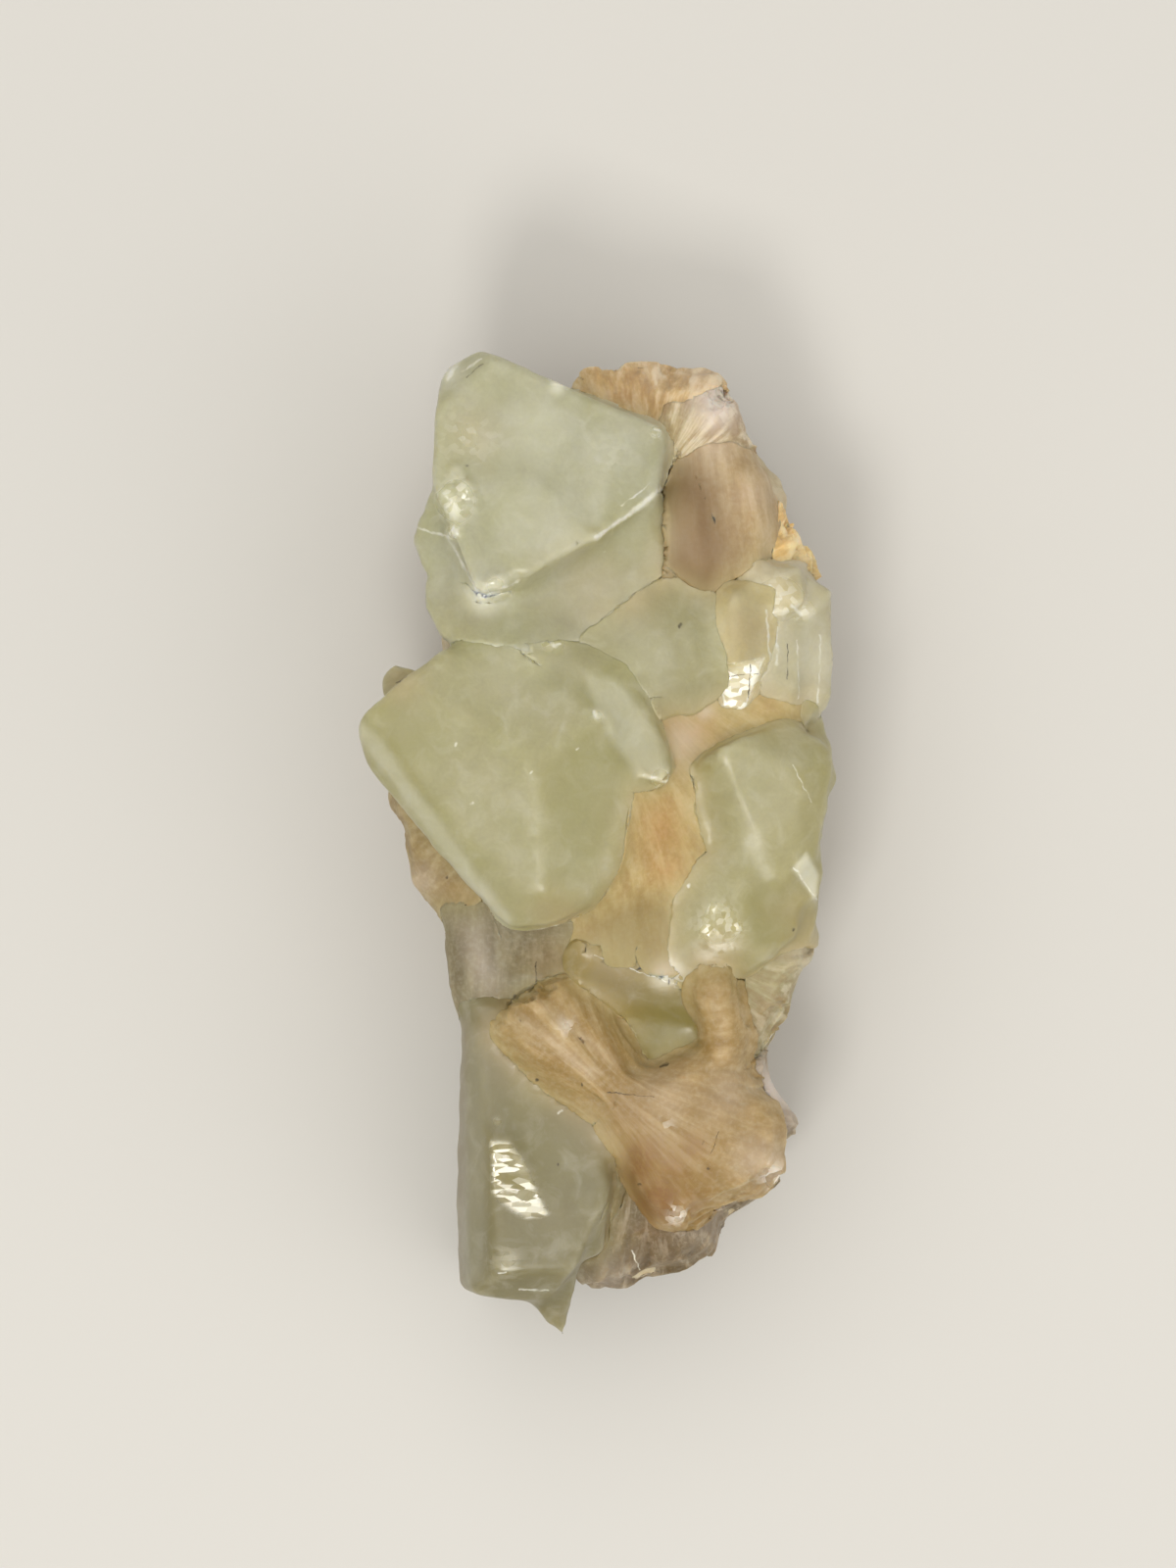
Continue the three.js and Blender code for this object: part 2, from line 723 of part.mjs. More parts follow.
/** The broken mass that carries everything. */
function matrix() {
  const mass = sheaf({
    outline: [
      [-12.6, 47.0], [3.0, 46.8], [12.0, 46.0], [16.4, 38.6], [21.0, 29.6], [23.0, 18.0], [23.2, 6.0],
      [21.8, -6.0], [20.6, -14.0], [16.4, -20.6], [18.0, -31.0], [12.4, -40.4], [1.6, -44.6], [-5.0, -42.0],
      [-9.0, -28.0], [-13.0, -17.0], [-15.4, -8.0], [-18.8, 2.0], [-21.0, 11.0], [-16.4, 19.4],
      [-16.4, 27.0], [-15.8, 38.0],
    ],
    summit: [1, 0],
    crown: matrixTop,
    rim: matrixTop - 5,
    root: 0,
    foot: 0.84,
    ribs: 20,
    groove: 0.8,
  });
  const chunks = [
    { at: [-7, 36, 7], radii: [9.8, 11, 10], seed: 101 },
    { at: [8, 33, 7], radii: [12, 12, 10], seed: 103 },
    { at: [13, 12, 7], radii: [10.2, 12, 10], seed: 107 },
    { at: [-9, 8, 7], radii: [11, 12, 10], seed: 113 },
    { at: [11, -11, 7], radii: [10, 10, 10], seed: 131 },
    { at: [6, -31, 6], radii: [11.4, 11.4, 10], seed: 139 },
  ].map((chunk) => nodule({ rough: 0.16, ...chunk }));
  return [mass, ...chunks];
}

// ---------------------------------------------------------------- materials

const mineral = (color, roughness) => new THREE.MeshStandardMaterial({ color, roughness, metalness: 0 });
const paleGreen = mineral(0xbfbc95, 0.25);
const peach = mineral(0xc9a878, 0.5);
const tan = mineral(0xb08f66, 0.5);
const cream = mineral(0xcfc0a4, 0.5);
const paleMatrix = mineral(0xa99c80, 0.6);

// ---------------------------------------------------------------- assembly

// In the order in which they hold their shape: each piece grew against those before it.
const pieces = [
  ["matrix", paleMatrix, matrix()],
  ["apophyllite_middle", paleGreen, middleApophyllite()],
  ["apophyllite_upper", paleGreen, upperApophyllite()],
  ["apophyllite_saddle", paleGreen, saddleApophyllite()],
  ["apophyllite_right", paleGreen, rightApophyllite()],
  ["apophyllite_shard", paleGreen, shardApophyllite()],
  ["stilbite_bow_tie", peach, bowTieStilbite()],
  ["stilbite_upper_sheaf", tan, upperSheaf()],
  ["apophyllite_side_blades", paleGreen, sideApophyllite()],
  ["apophyllite_lower", paleGreen, lowerApophyllite()],
  ["apophyllite_wedge", paleGreen, wedgeApophyllite()],
  ["stilbite_white_fan", cream, whiteStilbite()],
  ["stilbite_crest_fan", tan, crestStilbite()],
  ["stilbite_centre", peach, centreStilbite()],
  ["stilbite_right_plates", cream, rightPlates()],
  ["stilbite_upright_blades", cream, uprightStilbite()],
  ["stilbite_left_lobe", peach, leftStilbite()],
  ["stilbite_rim_blades", peach, rimStilbite()],
  ["stilbite_skirt", cream, skirtStilbite()],
];

/** The space under the broken back, which every piece is cut off at. */
function underTheBack() {
  const depth = 60;
  const block = new THREE.BoxGeometry(3 * clusterWidth, 3 * clusterLength, depth);
  return solidOf(block.translate(0, 0, -depth / 2));
}

/** The largest body of a solid, without the crumbs that a cut leaves. */
function largestBody(solid) {
  return solid.decompose().reduce((best, body) => (body.volume() > best.volume() ? body : best));
}

/** A solid as a mesh that sits at its own middle. */
function meshOf(name, material, solid) {
  const { vertProperties, triVerts } = solid.getMesh();
  const geometry = new THREE.BufferGeometry();
  geometry.setAttribute("position", new THREE.BufferAttribute(vertProperties, 3));
  geometry.setIndex(new THREE.BufferAttribute(triVerts, 1));
  geometry.computeBoundingBox();
  const middle = geometry.boundingBox.getCenter(new THREE.Vector3());
  geometry.translate(-middle.x, -middle.y, -middle.z);
  const mesh = new THREE.Mesh(geometry, material);
  mesh.name = name;
  mesh.position.copy(middle);
  return mesh;
}

const cluster = new THREE.Group();
let alreadyGrown = underTheBack();
for (const [name, material, members] of pieces) {
  const grown = (growth) => wasm.Manifold.union(members.map((member) => member(growth)));
  cluster.add(meshOf(name, material, largestBody(grown(0).subtract(alreadyGrown))));
  alreadyGrown = alreadyGrown.add(grown(contactGap));
}

const extent = new THREE.Box3().setFromObject(cluster);
const middle = extent.getCenter(new THREE.Vector3());
cluster.position.set(-middle.x, -middle.y, -extent.min.z);

export default cluster;
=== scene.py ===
# %% [markdown]
# # A cluster of apophyllite and stilbite
#
# The object is a hand-size mineral specimen. Blocky, pale green apophyllite crystals grew together
# with peach sheaves of stilbite on a piece of pale rock. It lies on its broken back, and we look down
# on its crystals. The solids of every crystal and sheaf come ready-made at their real size, so this
# lesson gives them what a solid of flat facets lacks: worn edges, fine ribs, broken rock, and
# minerals that let the light in.

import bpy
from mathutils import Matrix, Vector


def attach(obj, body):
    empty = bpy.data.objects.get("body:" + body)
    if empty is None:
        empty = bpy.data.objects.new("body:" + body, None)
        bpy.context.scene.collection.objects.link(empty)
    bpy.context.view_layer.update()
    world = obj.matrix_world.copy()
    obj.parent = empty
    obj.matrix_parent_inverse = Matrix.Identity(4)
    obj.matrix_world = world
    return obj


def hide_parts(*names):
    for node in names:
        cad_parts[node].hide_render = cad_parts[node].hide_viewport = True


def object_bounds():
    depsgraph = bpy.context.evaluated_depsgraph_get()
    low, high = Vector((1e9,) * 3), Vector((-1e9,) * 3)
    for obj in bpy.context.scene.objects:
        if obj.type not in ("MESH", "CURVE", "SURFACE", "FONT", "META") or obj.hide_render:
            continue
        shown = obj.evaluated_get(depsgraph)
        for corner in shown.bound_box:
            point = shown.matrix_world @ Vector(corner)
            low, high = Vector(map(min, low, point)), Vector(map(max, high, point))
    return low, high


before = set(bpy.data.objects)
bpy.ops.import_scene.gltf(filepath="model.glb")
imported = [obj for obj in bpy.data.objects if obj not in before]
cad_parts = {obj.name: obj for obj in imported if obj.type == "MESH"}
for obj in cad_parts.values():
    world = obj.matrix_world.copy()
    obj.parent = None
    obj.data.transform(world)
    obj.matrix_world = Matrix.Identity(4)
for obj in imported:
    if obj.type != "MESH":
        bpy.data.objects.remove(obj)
cad_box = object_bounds()
print("CAD box, mm:", [[round(1000 * v, 1) for v in corner] for corner in cad_box])

# %% [markdown]
# The frame is in metres. Minerals are measured in millimetres, so places and sizes below are in
# millimetres too, and one factor turns them into the frame's metres. X and Y are the plan of the
# cluster, and Z is the height above the surface on which it lies.

# %% Units
import itertools
import math

import bpy
import numpy as np
from mathutils import Vector
from mathutils.bvhtree import BVHTree

MM = 0.001
low_corner, high_corner = (np.array(corner) / MM for corner in cad_box)
print("length along Y, mm:", round(high_corner[1] - low_corner[1], 1))

# %% [markdown]
# ## Random but repeatable relief
#
# Nothing in a crystal is perfectly flat. A random height that changes smoothly from place to place
# is the start of every dent and lump here. It could come from a texture, but a texture on a modifier
# can't be stretched along a crystal. So we hash the corners of a grid and blend between them, which
# gives the same heights every time.


# %% Smooth random heights
def lumps(points, size, seed):
    """Random heights from -1 to 1 at points in mm, in lumps of this size. Three sizes stretch them."""
    place = points / np.array(size) + 31.7 * seed
    cell = np.floor(place).astype(np.int64)
    t = place - cell
    t = t * t * (3 - 2 * t)
    height = np.zeros(len(points))
    for corner in itertools.product((0, 1), repeat=3):
        x, y, z = (cell + corner).T
        code = (x * 374761393 + y * 668265263 + z * 1274126177 + seed * 974711) & 0xFFFFFFFF
        code = ((code ^ (code >> 13)) * 1103515245) & 0xFFFFFFFF
        value = ((code ^ (code >> 16)) & 0xFFFF) / 32767.5 - 1
        height += value * np.prod(np.where(corner, t, 1 - t), axis=1)
    return height


print("a few heights:", lumps(np.array([[0.0, 0, 0], [1, 2, 3], [4, 5, 6]]), 3, seed=1).round(2))

# %% [markdown]
# ## From a faceted solid to a skin
#
# The solid of a crystal has few, large triangles. Relief needs many small ones. A voxel remesh gives
# an even net of small faces, but rounds every edge like soap. So each point of a crystal's net is
# then put back on the nearest place of the solid, which brings the flat faces and their edges back.
# A little easing afterwards wears the edges as handling does. A sheaf is rounded by nature, so its
# net is eased much longer, and never put back.


# %% A skin that can be shaped
def placed(name, mesh):
    """An object in the scene with this mesh."""
    thing = bpy.data.objects.new(name, mesh)
    bpy.context.scene.collection.objects.link(thing)
    return thing


def nearest_on(thing, points):
    """The nearest places on an object to points in mm, and the number of the face that each is on."""
    tree = BVHTree.FromObject(thing, bpy.context.evaluated_depsgraph_get())
    found = [tree.find_nearest(Vector(point * MM)) for point in points]
    places, _, faces, _ = zip(*found)
    return np.array(places) / MM, np.array(faces)


class Skin:
    """A dense closed net over a solid, with its points in mm."""

    def __init__(self, name, mesh, grain):
        self.object = placed(name, mesh)
        remesh = self.object.modifiers.new("even net", "REMESH")
        remesh.mode = "VOXEL"
        remesh.voxel_size = grain * MM
        depsgraph = bpy.context.evaluated_depsgraph_get()
        net = bpy.data.meshes.new_from_object(self.object.evaluated_get(depsgraph))
        self.object.modifiers.clear()
        self.object.data = net
        net.name = name
        points = np.zeros(len(net.vertices) * 3)
        net.vertices.foreach_get("co", points)
        self.points = points.reshape(-1, 3) / MM
        links = np.zeros(len(net.edges) * 2, np.int64)
        net.edges.foreach_get("vertices", links)
        self.links = links.reshape(-1, 2)
        self.neighbours = np.bincount(links, minlength=len(self.points))

    def snap(self, solid):
        """Puts every point back on the nearest place of the solid."""
        self.points, _ = nearest_on(solid, self.points)

    def blurred(self, values, rounds):
        """Values of the points, each averaged with its neighbours so many times."""
        values = values.reshape(len(values), -1)
        ends, others = self.links.ravel(), self.links[:, ::-1].ravel()
        for _ in range(rounds):
            sums = [np.bincount(ends, column, len(values)) for column in values[others].T]
            values = 0.5 * values + 0.5 * np.stack(sums, 1) / self.neighbours[:, None]
        return values

    def standing_out(self, values, rounds):
        """How far values stand above the average of their surroundings."""
        return values - self.blurred(values, rounds).reshape(values.shape)

    def corners(self):
        """The four points of every face of the net."""
        corners = np.zeros(len(self.object.data.loops), np.int64)
        self.object.data.loops.foreach_get("vertex_index", corners)
        return corners.reshape(-1, 4)

    def normals(self):
        """The direction out of the surface at every point."""
        self.store()
        normals = np.zeros(len(self.points) * 3)
        self.object.data.vertex_normals.foreach_get("vector", normals)
        return normals.reshape(-1, 3)

    def store(self):
        """Writes the points into the mesh, kept inside the box of the solids."""
        inside = np.clip(self.points, low_corner, high_corner)
        self.object.data.vertices.foreach_set("co", (inside * MM).ravel())
        self.object.data.update()

    def paint(self, name, values):
        """Keeps a number or a vector per point, for the material to read."""
        kind, key = ("FLOAT", "value") if values.ndim == 1 else ("FLOAT_VECTOR", "vector")
        attribute = self.object.data.attributes.new(name, kind, "POINT")
        attribute.data.foreach_set(key, np.asarray(values, np.float32).ravel())


print("solids to cover:", len(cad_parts))

# %% [markdown]
# Now every solid gets its skin. Its name tells what the piece is, and the number of rounds how long
# it is worn or eased: a glassy crystal keeps its edges, and a sheaf that weathered is smooth. The rock
# has broad forms only, so a coarser net does for it.

# %% The pieces and their skins
GRAIN = 0.32  # mm between the points of a net
CRYSTALS = {
    # node of the solid: the piece, and how long its edges are worn
    "apophyllite_upper": ("upper_crystal", 2),
    "apophyllite_middle": ("middle_crystal", 4),
    "apophyllite_saddle": ("saddle_crystal", 10),
    "apophyllite_right": ("right_crystals", 12),
    "apophyllite_shard": ("clear_shard", 2),
    "apophyllite_side_blades": ("side_blades", 3),
    "apophyllite_lower": ("lower_block", 3),
    "apophyllite_wedge": ("held_wedge", 3),
    "stilbite_upright_blades": ("upright_blades", 4),
}
SHEAVES = {
    # node of the solid: the piece, and how long it is eased
    "stilbite_crest_fan": ("crest_fan", 8),
    "stilbite_white_fan": ("white_fan", 8),
    "stilbite_upper_sheaf": ("upper_sheaf", 30),
    "stilbite_rim_blades": ("rim_blades", 6),
    "stilbite_centre": ("centre_sheaves", 10),
    "stilbite_left_lobe": ("left_lobe", 12),
    "stilbite_bow_tie": ("bow_tie", 8),
    "stilbite_right_plates": ("right_plates", 6),
    "stilbite_skirt": ("skirt_plates", 6),
    "matrix": ("broken_matrix", 6),
}
skins = {}
for node, (name, rounds) in (CRYSTALS | SHEAVES).items():
    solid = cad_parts[node]
    skin = Skin(name, solid.data.copy(), 1.6 * GRAIN if node == "matrix" else GRAIN)
    if node in CRYSTALS:
        skin.snap(solid)
    skin.points = skin.blurred(skin.points, rounds)
    skin.node = node
    skins[node] = skin
print("points in all skins:", sum(len(skin.points) for skin in skins.values()))

# %% [markdown]
# ## Young growth in the corners
#
# The large crystals stand several millimetres above their neighbours, yet few of them end in an open
# step. Later growth filled the corners, so that one crystal leans into the next with a slope. Each
# slope hangs like a tent from a line over the contact, and what lies under it is lifted towards it.
# Only the upper side is reached: what lies deeper than 12 mm stays where it is.


# %% Slopes at the feet of the crystals
def from_line(points, start, end):
    """How far along a line in the plan each point lies, from 0 to 1, and how far from it in mm."""
    start, end = np.array(start, float), np.array(end, float)
    along = end - start
    share = np.clip((points[:, :2] - start) @ along / (along @ along), 0, 1)
    return share, np.linalg.norm(points[:, :2] - start - share[:, None] * along, axis=1)


SLOPES = [  # the line over a contact, x, y, x, y in mm, its height at both ends, fall, and open gap
    (-15.5, 20.3, -12.0, 20.3, 34.3, 35.8, 0.6, 1),
    (-12.0, 20.3, -5.0, 20.3, 36.0, 35.2, 0.6, 1),
    (-5.0, 20.3, -1.0, 21.0, 35.2, 33.4, 0.6, 0),
    (-1.0, 21.0, 5.0, 26.2, 33.2, 32.4, 0.6, 0),
    (7.9, 6.6, 3.5, 5.5, 33.6, 35.6, 1.0, 0),
    (3.2, 5.5, 2.7, 1.0, 36.2, 36.3, 0.9, 0),
    (2.7, 1.0, 0.5, -3.0, 36.3, 36.2, 0.9, 0),
    (0.5, -3.0, 0.0, -8.0, 36.0, 33.5, 0.9, 0),
    (7.2, 8.5, 5.6, 14.0, 33.2, 33.6, 1.1, 0),
    (-8.2, -9.0, 0.0, -7.6, 31.5, 33.0, 1.0, 0),
    (-20.5, 4.5, -10.0, -7.0, 28.5, 29.5, 1.0, 0),
    (1.0, 45.2, 6.8, 42.6, 32.6, 32.2, 1.0, 0),
    (-11.8, 25.6, -4.0, 28.8, 34.2, 34.5, 1.0, 0),
    (-0.5, -11.5, 10.9, -14.5, 28.8, 28.6, 0.8, 1.6),
    (0.2, -29.0, 1.0, -36.0, 28.5, 25.5, 0.9, 1),
    (14.8, -17.3, 16.6, -22.0, 26.5, 21.0, 1.0, 1),
]


def slopes_over(points):
    """The height of the slopes over points, and the open gap that they are near to, both in mm."""
    level, opened = np.full(len(points), -np.inf), np.zeros(len(points))
    for x1, y1, x2, y2, high, low, fall, gap in SLOPES:
        share, away = from_line(points, (x1, y1), (x2, y2))
        level = np.maximum(level, high + share * (low - high) - fall * away)
        opened = np.maximum(opened, gap * np.clip(1.5 - 0.5 * away, 0, 1))
    return level, opened


for skin in skins.values():
    level, skin.gap = slopes_over(skin.points)
    depth = level - skin.points[:, 2]
    skin.points[:, 2] += 0.85 * np.clip(depth, 0, 6) * np.clip((12 - depth) / 6, 0, 1)
print("contacts with a slope:", len(SLOPES))

# %% [markdown]
# ## Grown together
#
# The solids stand a hairline apart, so that each keeps its own body. Real crystals that grew together
# touch, and where they touch the corner between them is filled with small growth. So we make one
# closed surface round all pieces, a little swollen, and more so over the open gaps between them. The
# outer skin of every piece moves onto it, while its hidden walls grow into the neighbours. Then that
# surface heals: its valleys fill but its edges stay, except in a few calm places, where a step is
# almost grown over. The skins follow, and the outer ones come to lie on the healed surface. A few
# faces fold over on the way and would show their dark inside, so those sink half a millimetre under.


# %% One surface round all pieces
CALM = [  # x, y and radius in the plan, in mm, where a step is almost grown over
    (-7, 35, 6),
    (5, 21, 6),
    (-12, -6.5, 7),
    (15, 2, 6),
    (9, -12, 3),
    (10, 39, 6),
    (11, 32, 8),
    (-2, 22.5, 5),
    (-9, 20.5, 7),
    (3, 3, 5),
    (1, -5, 6),
    (9.5, 3, 5),
    (8, -7, 4),
]
FILLED = [  # the same, where a corner is filled deeper
    (5, 4, 7),
    (6, -8, 7),
    (9, 13, 6),
    (-7, -9, 6),
    (0, 20, 8),
    (7, 27, 4),
    (13, 20, 7),
    (9, 41, 6),
    (10, 32, 7),
    (-9, 20, 8),
    (9, -14, 4),
    (1, -31, 6),
    (16, -23, 5),
    (-12, 25, 4),
    (-8, 26.5, 4),
]


def joined(parts, swell=0.0):
    """One mesh of these skins together, each swollen so that it reaches into its neighbours."""
    points, faces, start = [], [], 0
    for part in parts:
        points.append((part.points + swell * (1 + 2 * part.gap[:, None]) * part.normals()) * MM)
        faces.append(part.corners() + start)
        start += len(part.points)
    mesh = bpy.data.meshes.new("joined")
    mesh.from_pydata(np.concatenate(points), [], np.concatenate(faces).tolist())
    return mesh


together = Skin("together", joined(skins.values(), swell=0.22), 1.2 * GRAIN)
for skin in skins.values():
    grown = skin.points + 0.36 * (1 + 1.5 * skin.gap[:, None]) * skin.normals()
    target, skin.face = nearest_on(together.object, grown)
    away = np.linalg.norm(target - grown, axis=1)
    skin.outer = skin.blurred(np.clip((0.9 - away) / 0.3, 0, 1), 1)[:, 0]
    skin.free = np.clip(2 * skin.blurred(skin.outer, 8)[:, 0] - 1, 0, 1)  # 0 where a neighbour begins
    skin.points = skin.outer[:, None] * target + (1 - skin.outer[:, None]) * grown


def within(points, zones):
    """1 well inside these round zones of the plan, and softly down to 0 at their rims."""
    share = np.zeros(len(points))
    for x, y, radius in zones:
        away = np.linalg.norm(points[:, :2] - (x, y), axis=1)
        share = np.maximum(share, np.clip(2 - 2 * away / radius, 0, 1))
    return share


def heal(skin, rounds, filling, wear):
    """Fills the valleys of a skin, and wears its edges, each by its own share of every round."""
    for _ in range(rounds):
        move = -skin.standing_out(skin.points, 1)
        outward = np.sum(move * skin.normals(), axis=1)
        skin.points += move * np.where(outward > 0, filling, wear)[:, None]


before = together.points.copy()
calm = within(before, CALM)
heal(together, 36, filling=1.0, wear=np.maximum(calm, 0.12))
heal(together, 110, filling=within(before, FILLED), wear=0.02 + 0.4 * calm)
together.store()
healed = (together.points - before)[together.corners()].mean(axis=1)
edges = np.sum(together.standing_out(together.points, 5) * together.normals(), axis=1)
first_corner = together.corners()[:, 0]
outward = np.zeros(3 * len(together.object.data.polygons))
together.object.data.polygons.foreach_get("normal", outward)
outward = outward.reshape(-1, 3)
for number, skin in enumerate(skins.values()):
    follow = np.clip(3 * skin.blurred(skin.outer, 4), 0, 1)  # hidden walls come along a little way
    skin.points += follow * skin.blurred(healed[skin.face], 2)
    target, face = nearest_on(together.object, skin.points)
    skin.points += skin.outer[:, None] * (target - skin.points)
    folded = skin.outer * (np.sum(skin.normals() * outward[face], axis=1) < 0.1)
    skin.points -= 0.5 * skin.blurred(folded, 1) * outward[face]  # what folded over goes under
    skin.outer *= 1 - folded
    under = 0.004 * number * (1 - skin.free)  # so that of two skins that overlap the first is on top
    skin.points -= under[:, None] * skin.normals()
    skin.edge = skin.outer * edges[first_corner[skin.face]]
print("points in the joint surface:", len(before), "most healed, mm:", np.abs(healed).max().round(2))
bpy.data.objects.remove(together.object)

# %% [markdown]
# Light wanders far inside these minerals, and near a contact it would carry some of the colour of the
# neighbour. That colour is painted into each mineral as painted light, so the distance from every point
# to the nearest skin of the other mineral is kept. The hidden walls inside the cluster would swallow
# light that wanders into them and draw a dark line along every contact. So the room between each point
# and the nearest hidden wall is kept too, and the light wanders less far where there is less room.

# %% How near the other mineral is
for own, others in ((CRYSTALS, SHEAVES), (SHEAVES, CRYSTALS)):
    other = placed("other", joined([skins[node] for node in others if node != "matrix"]))
    for node in own:
        target, _ = nearest_on(other, skins[node].points)
        away = np.linalg.norm(target - skins[node].points, axis=1)
        skins[node].paint("near", np.exp(-away / 1.8))
    bpy.data.objects.remove(other)

WIDEST = 8.0  # mm of room that is still worth knowing
for skin in skins.values():
    corners = skin.corners()
    hidden = corners[(skin.outer[corners] < 0.5).all(axis=1)]
    walls = BVHTree.FromPolygons(skin.points.tolist(), hidden.tolist())
    room = [walls.find_nearest(point, WIDEST)[3] for point in skin.points.tolist()]
    skin.paint("room", np.array([WIDEST if away is None else away for away in room]))
print("skins that know their room:", sum("room" in s.object.data.attributes for s in skins.values()))

# %% [markdown]
# ## Edges, valleys and patches
#
# Worn edges on a crystal look frosted, and they are painted paler, which is also a painted highlight.
# Valleys are painted darker, as painted shade. Both follow from the shape: a point that stands above
# the average of its surroundings is on an edge, and one below it is in a valley.
# That height is kept on the mesh, so that the materials can use it. So are soft patches: where iron
# stained a mineral, where it is full of milky bubbles, and where it broke into small bright faces.


# %% What the materials read from the mesh
def raise_skin(skin, height, full=0.15):
    """Raises the outer skin by a height, and keeps what stands out: 1 on an edge, -1 in a valley."""
    height = height * skin.free
    skin.points += skin.normals() * height[:, None]
    out = skin.free * (skin.edge + skin.standing_out(height, 6))
    skin.paint("relief", np.clip(skin.blurred(out, 1)[:, 0] / full, -1, 1))


def spot(points, x, y, radius):
    """1 at a place in the plan, and softly down to 0 round it."""
    return np.exp(-(((points[:, 0] - x) ** 2 + (points[:, 1] - y) ** 2) / radius**2))


def facet(points, corners, soft=0.9):
    """1 inside a convex outline in the plan, given anticlockwise, and 0 outside its soft border."""
    depth = np.full(len(points), np.inf)
    for (x1, y1), (x2, y2) in zip(corners, corners[1:] + corners[:1]):
        length = math.hypot(x2 - x1, y2 - y1)
        side = (x2 - x1) * (points[:, 1] - y1) - (y2 - y1) * (points[:, 0] - x1)
        depth = np.minimum(depth, side / length)
    return np.clip(0.5 + depth / soft, 0, 1)


def paint_patches(skin, **patches):
    """Keeps where each kind of patch lies. A patch is a strength and a spot or an outline, in mm."""
    wander = np.stack([lumps(skin.points, 3, seed=70 + k) for k in range(3)], 1)
    for kind in ("stain", "milk", "deep", "glint"):
        values = np.zeros(len(skin.points))
        for strength, *shape in patches.get(kind, ()):
            if len(shape) == 3:
                place = skin.points + 0.3 * shape[2] * wander
                values = np.maximum(values, strength * spot(place, *shape))
            else:
                values = np.maximum(values, strength * facet(skin.points + 0.25 * wander, *shape))
        skin.paint(kind, values)


print("a patch at one radius from its middle:", spot(np.array([[1.0, 0, 0]]), 0, 0, 1).round(2))

# %% [markdown]
# ## Small forms on a face
#
# Some forms are too small to be crystals of their own: glassy droplets, a ridge between two growth
# areas, a crack. They are raised or sunk on the upper side of the skin, at their place in the plan.


# %% Droplets and ridges
def dome(points, at, radius, height):
    """The height of a rounded droplet over each point."""
    away = np.linalg.norm(points[:, :2] - at, axis=1) / radius
    return height * np.clip(1 - away**2, 0, None) ** 1.3


def ridge(points, start, end, width, height):
    """The height of a soft ridge, or with a height below zero a groove, between two places."""
    return height * np.exp(-((from_line(points, start, end)[1] / width) ** 2))


print("a droplet halfway out:", dome(np.array([[0.5, 0, 0]]), (0, 0), 1, 0.5).round(2))

# %% [markdown]
# ## Apophyllite: the shape
#
# Apophyllite grows as blocks with broad flat ends. Its side walls carry fine grooves that run up the
# crystal. Old specimens have small nicks along the edges. All of it is shallow: hundredths of a
# millimetre on the faces and a tenth or two at the edges.


# %% Crystal faces
def grow_faces(skin, seed, forms=None, groove=0.05, ragged=0.12):
    """Relief on a group of crystals. `forms` gives the height of extra forms on the upper side."""
    up = skin.normals()[:, 2]
    wall = 1 - np.clip(2 * np.abs(up), 0, 1)
    height = 0.12 * lumps(skin.points, 8, seed) + 0.04 * lumps(skin.points, 2.2, seed + 1)
    height += groove * (np.abs(lumps(skin.points, (0.9, 0.9, 9), seed + 3)) - 0.5) * wall
    height += ragged * lumps(skin.points, (1.7, 1.7, 5), seed + 5) * wall
    nicks = np.clip(lumps(skin.points, 1.3, seed + 4) - 0.2, 0, 1)
    height -= np.clip(skin.edge / 0.1, 0, 1) * (0.03 + 0.35 * nicks)
    if forms is not None:
        height += forms(skin.points) * np.clip(2 * up - 0.4, 0, 1)
    raise_skin(skin, height)


print("groups of crystals to grow:", len(CRYSTALS))

# %% [markdown]
# ## Shader nodes
#
# A material is a tree of nodes. One function adds a node, sets it up and links its inputs. A few
# others stand for the steps of several nodes that every mineral here needs: to start with its place
# and with what is kept on the mesh, to lay tints over each other, and to mark thin lines and small
# dots. Where a value has to move to another range, a MapRange node takes the range from inputs 1
# and 2 to inputs 3 and 4, and holds it inside them.


# %% Colours and nodes
def linear(code):
    """The linear colour of an sRGB hex value such as '#c3be9f'."""
    parts = [int(code[i : i + 2], 16) / 255 for i in (1, 3, 5)]
    return [p / 12.92 if p <= 0.04045 else ((p + 0.055) / 1.055) ** 2.4 for p in parts] + [1.0]


def add(tree, kind, inputs=None, output=0, **settings):
    """Adds a shader node with its settings, its values and links, and gives one of its outputs."""
    made = tree.nodes.new("ShaderNode" + kind)
    for name, value in settings.items():
        setattr(made, name, value)
    for name, value in (inputs or {}).items():
        if isinstance(value, bpy.types.NodeSocket):
            tree.links.new(value, made.inputs[name])
        else:
            made.inputs[name].default_value = value
    return made.outputs[output] if made.outputs else made


def new_material(name, keys):
    """An empty material: itself, its tree, the place in mm, and what is kept on the mesh by its key."""
    material = bpy.data.materials.new(name)
    material.use_nodes = True
    tree = material.node_tree
    tree.nodes.clear()
    place = add(tree, "TexCoord", output="Object")
    place = add(tree, "VectorMath", {0: place, "Scale": 1 / MM}, operation="SCALE")
    kept = {key: add(tree, "Attribute", output="Fac", attribute_name=key) for key in keys}
    return material, tree, place, kept


def layered(tree, colour, layers):
    """A colour with tints laid over it in turn.

    A layer is a value, where the tint has no share and where it has its full share of it, that full
    share, and the tint.
    """
    for value, none, full, most, tint in layers:
        share = add(tree, "MapRange", {"Value": value, 1: none, 2: full, 4: most})
        colour = add(tree, "Mix", {0: share, 6: colour, 7: linear(tint)}, output=2, data_type="RGBA")
    return colour


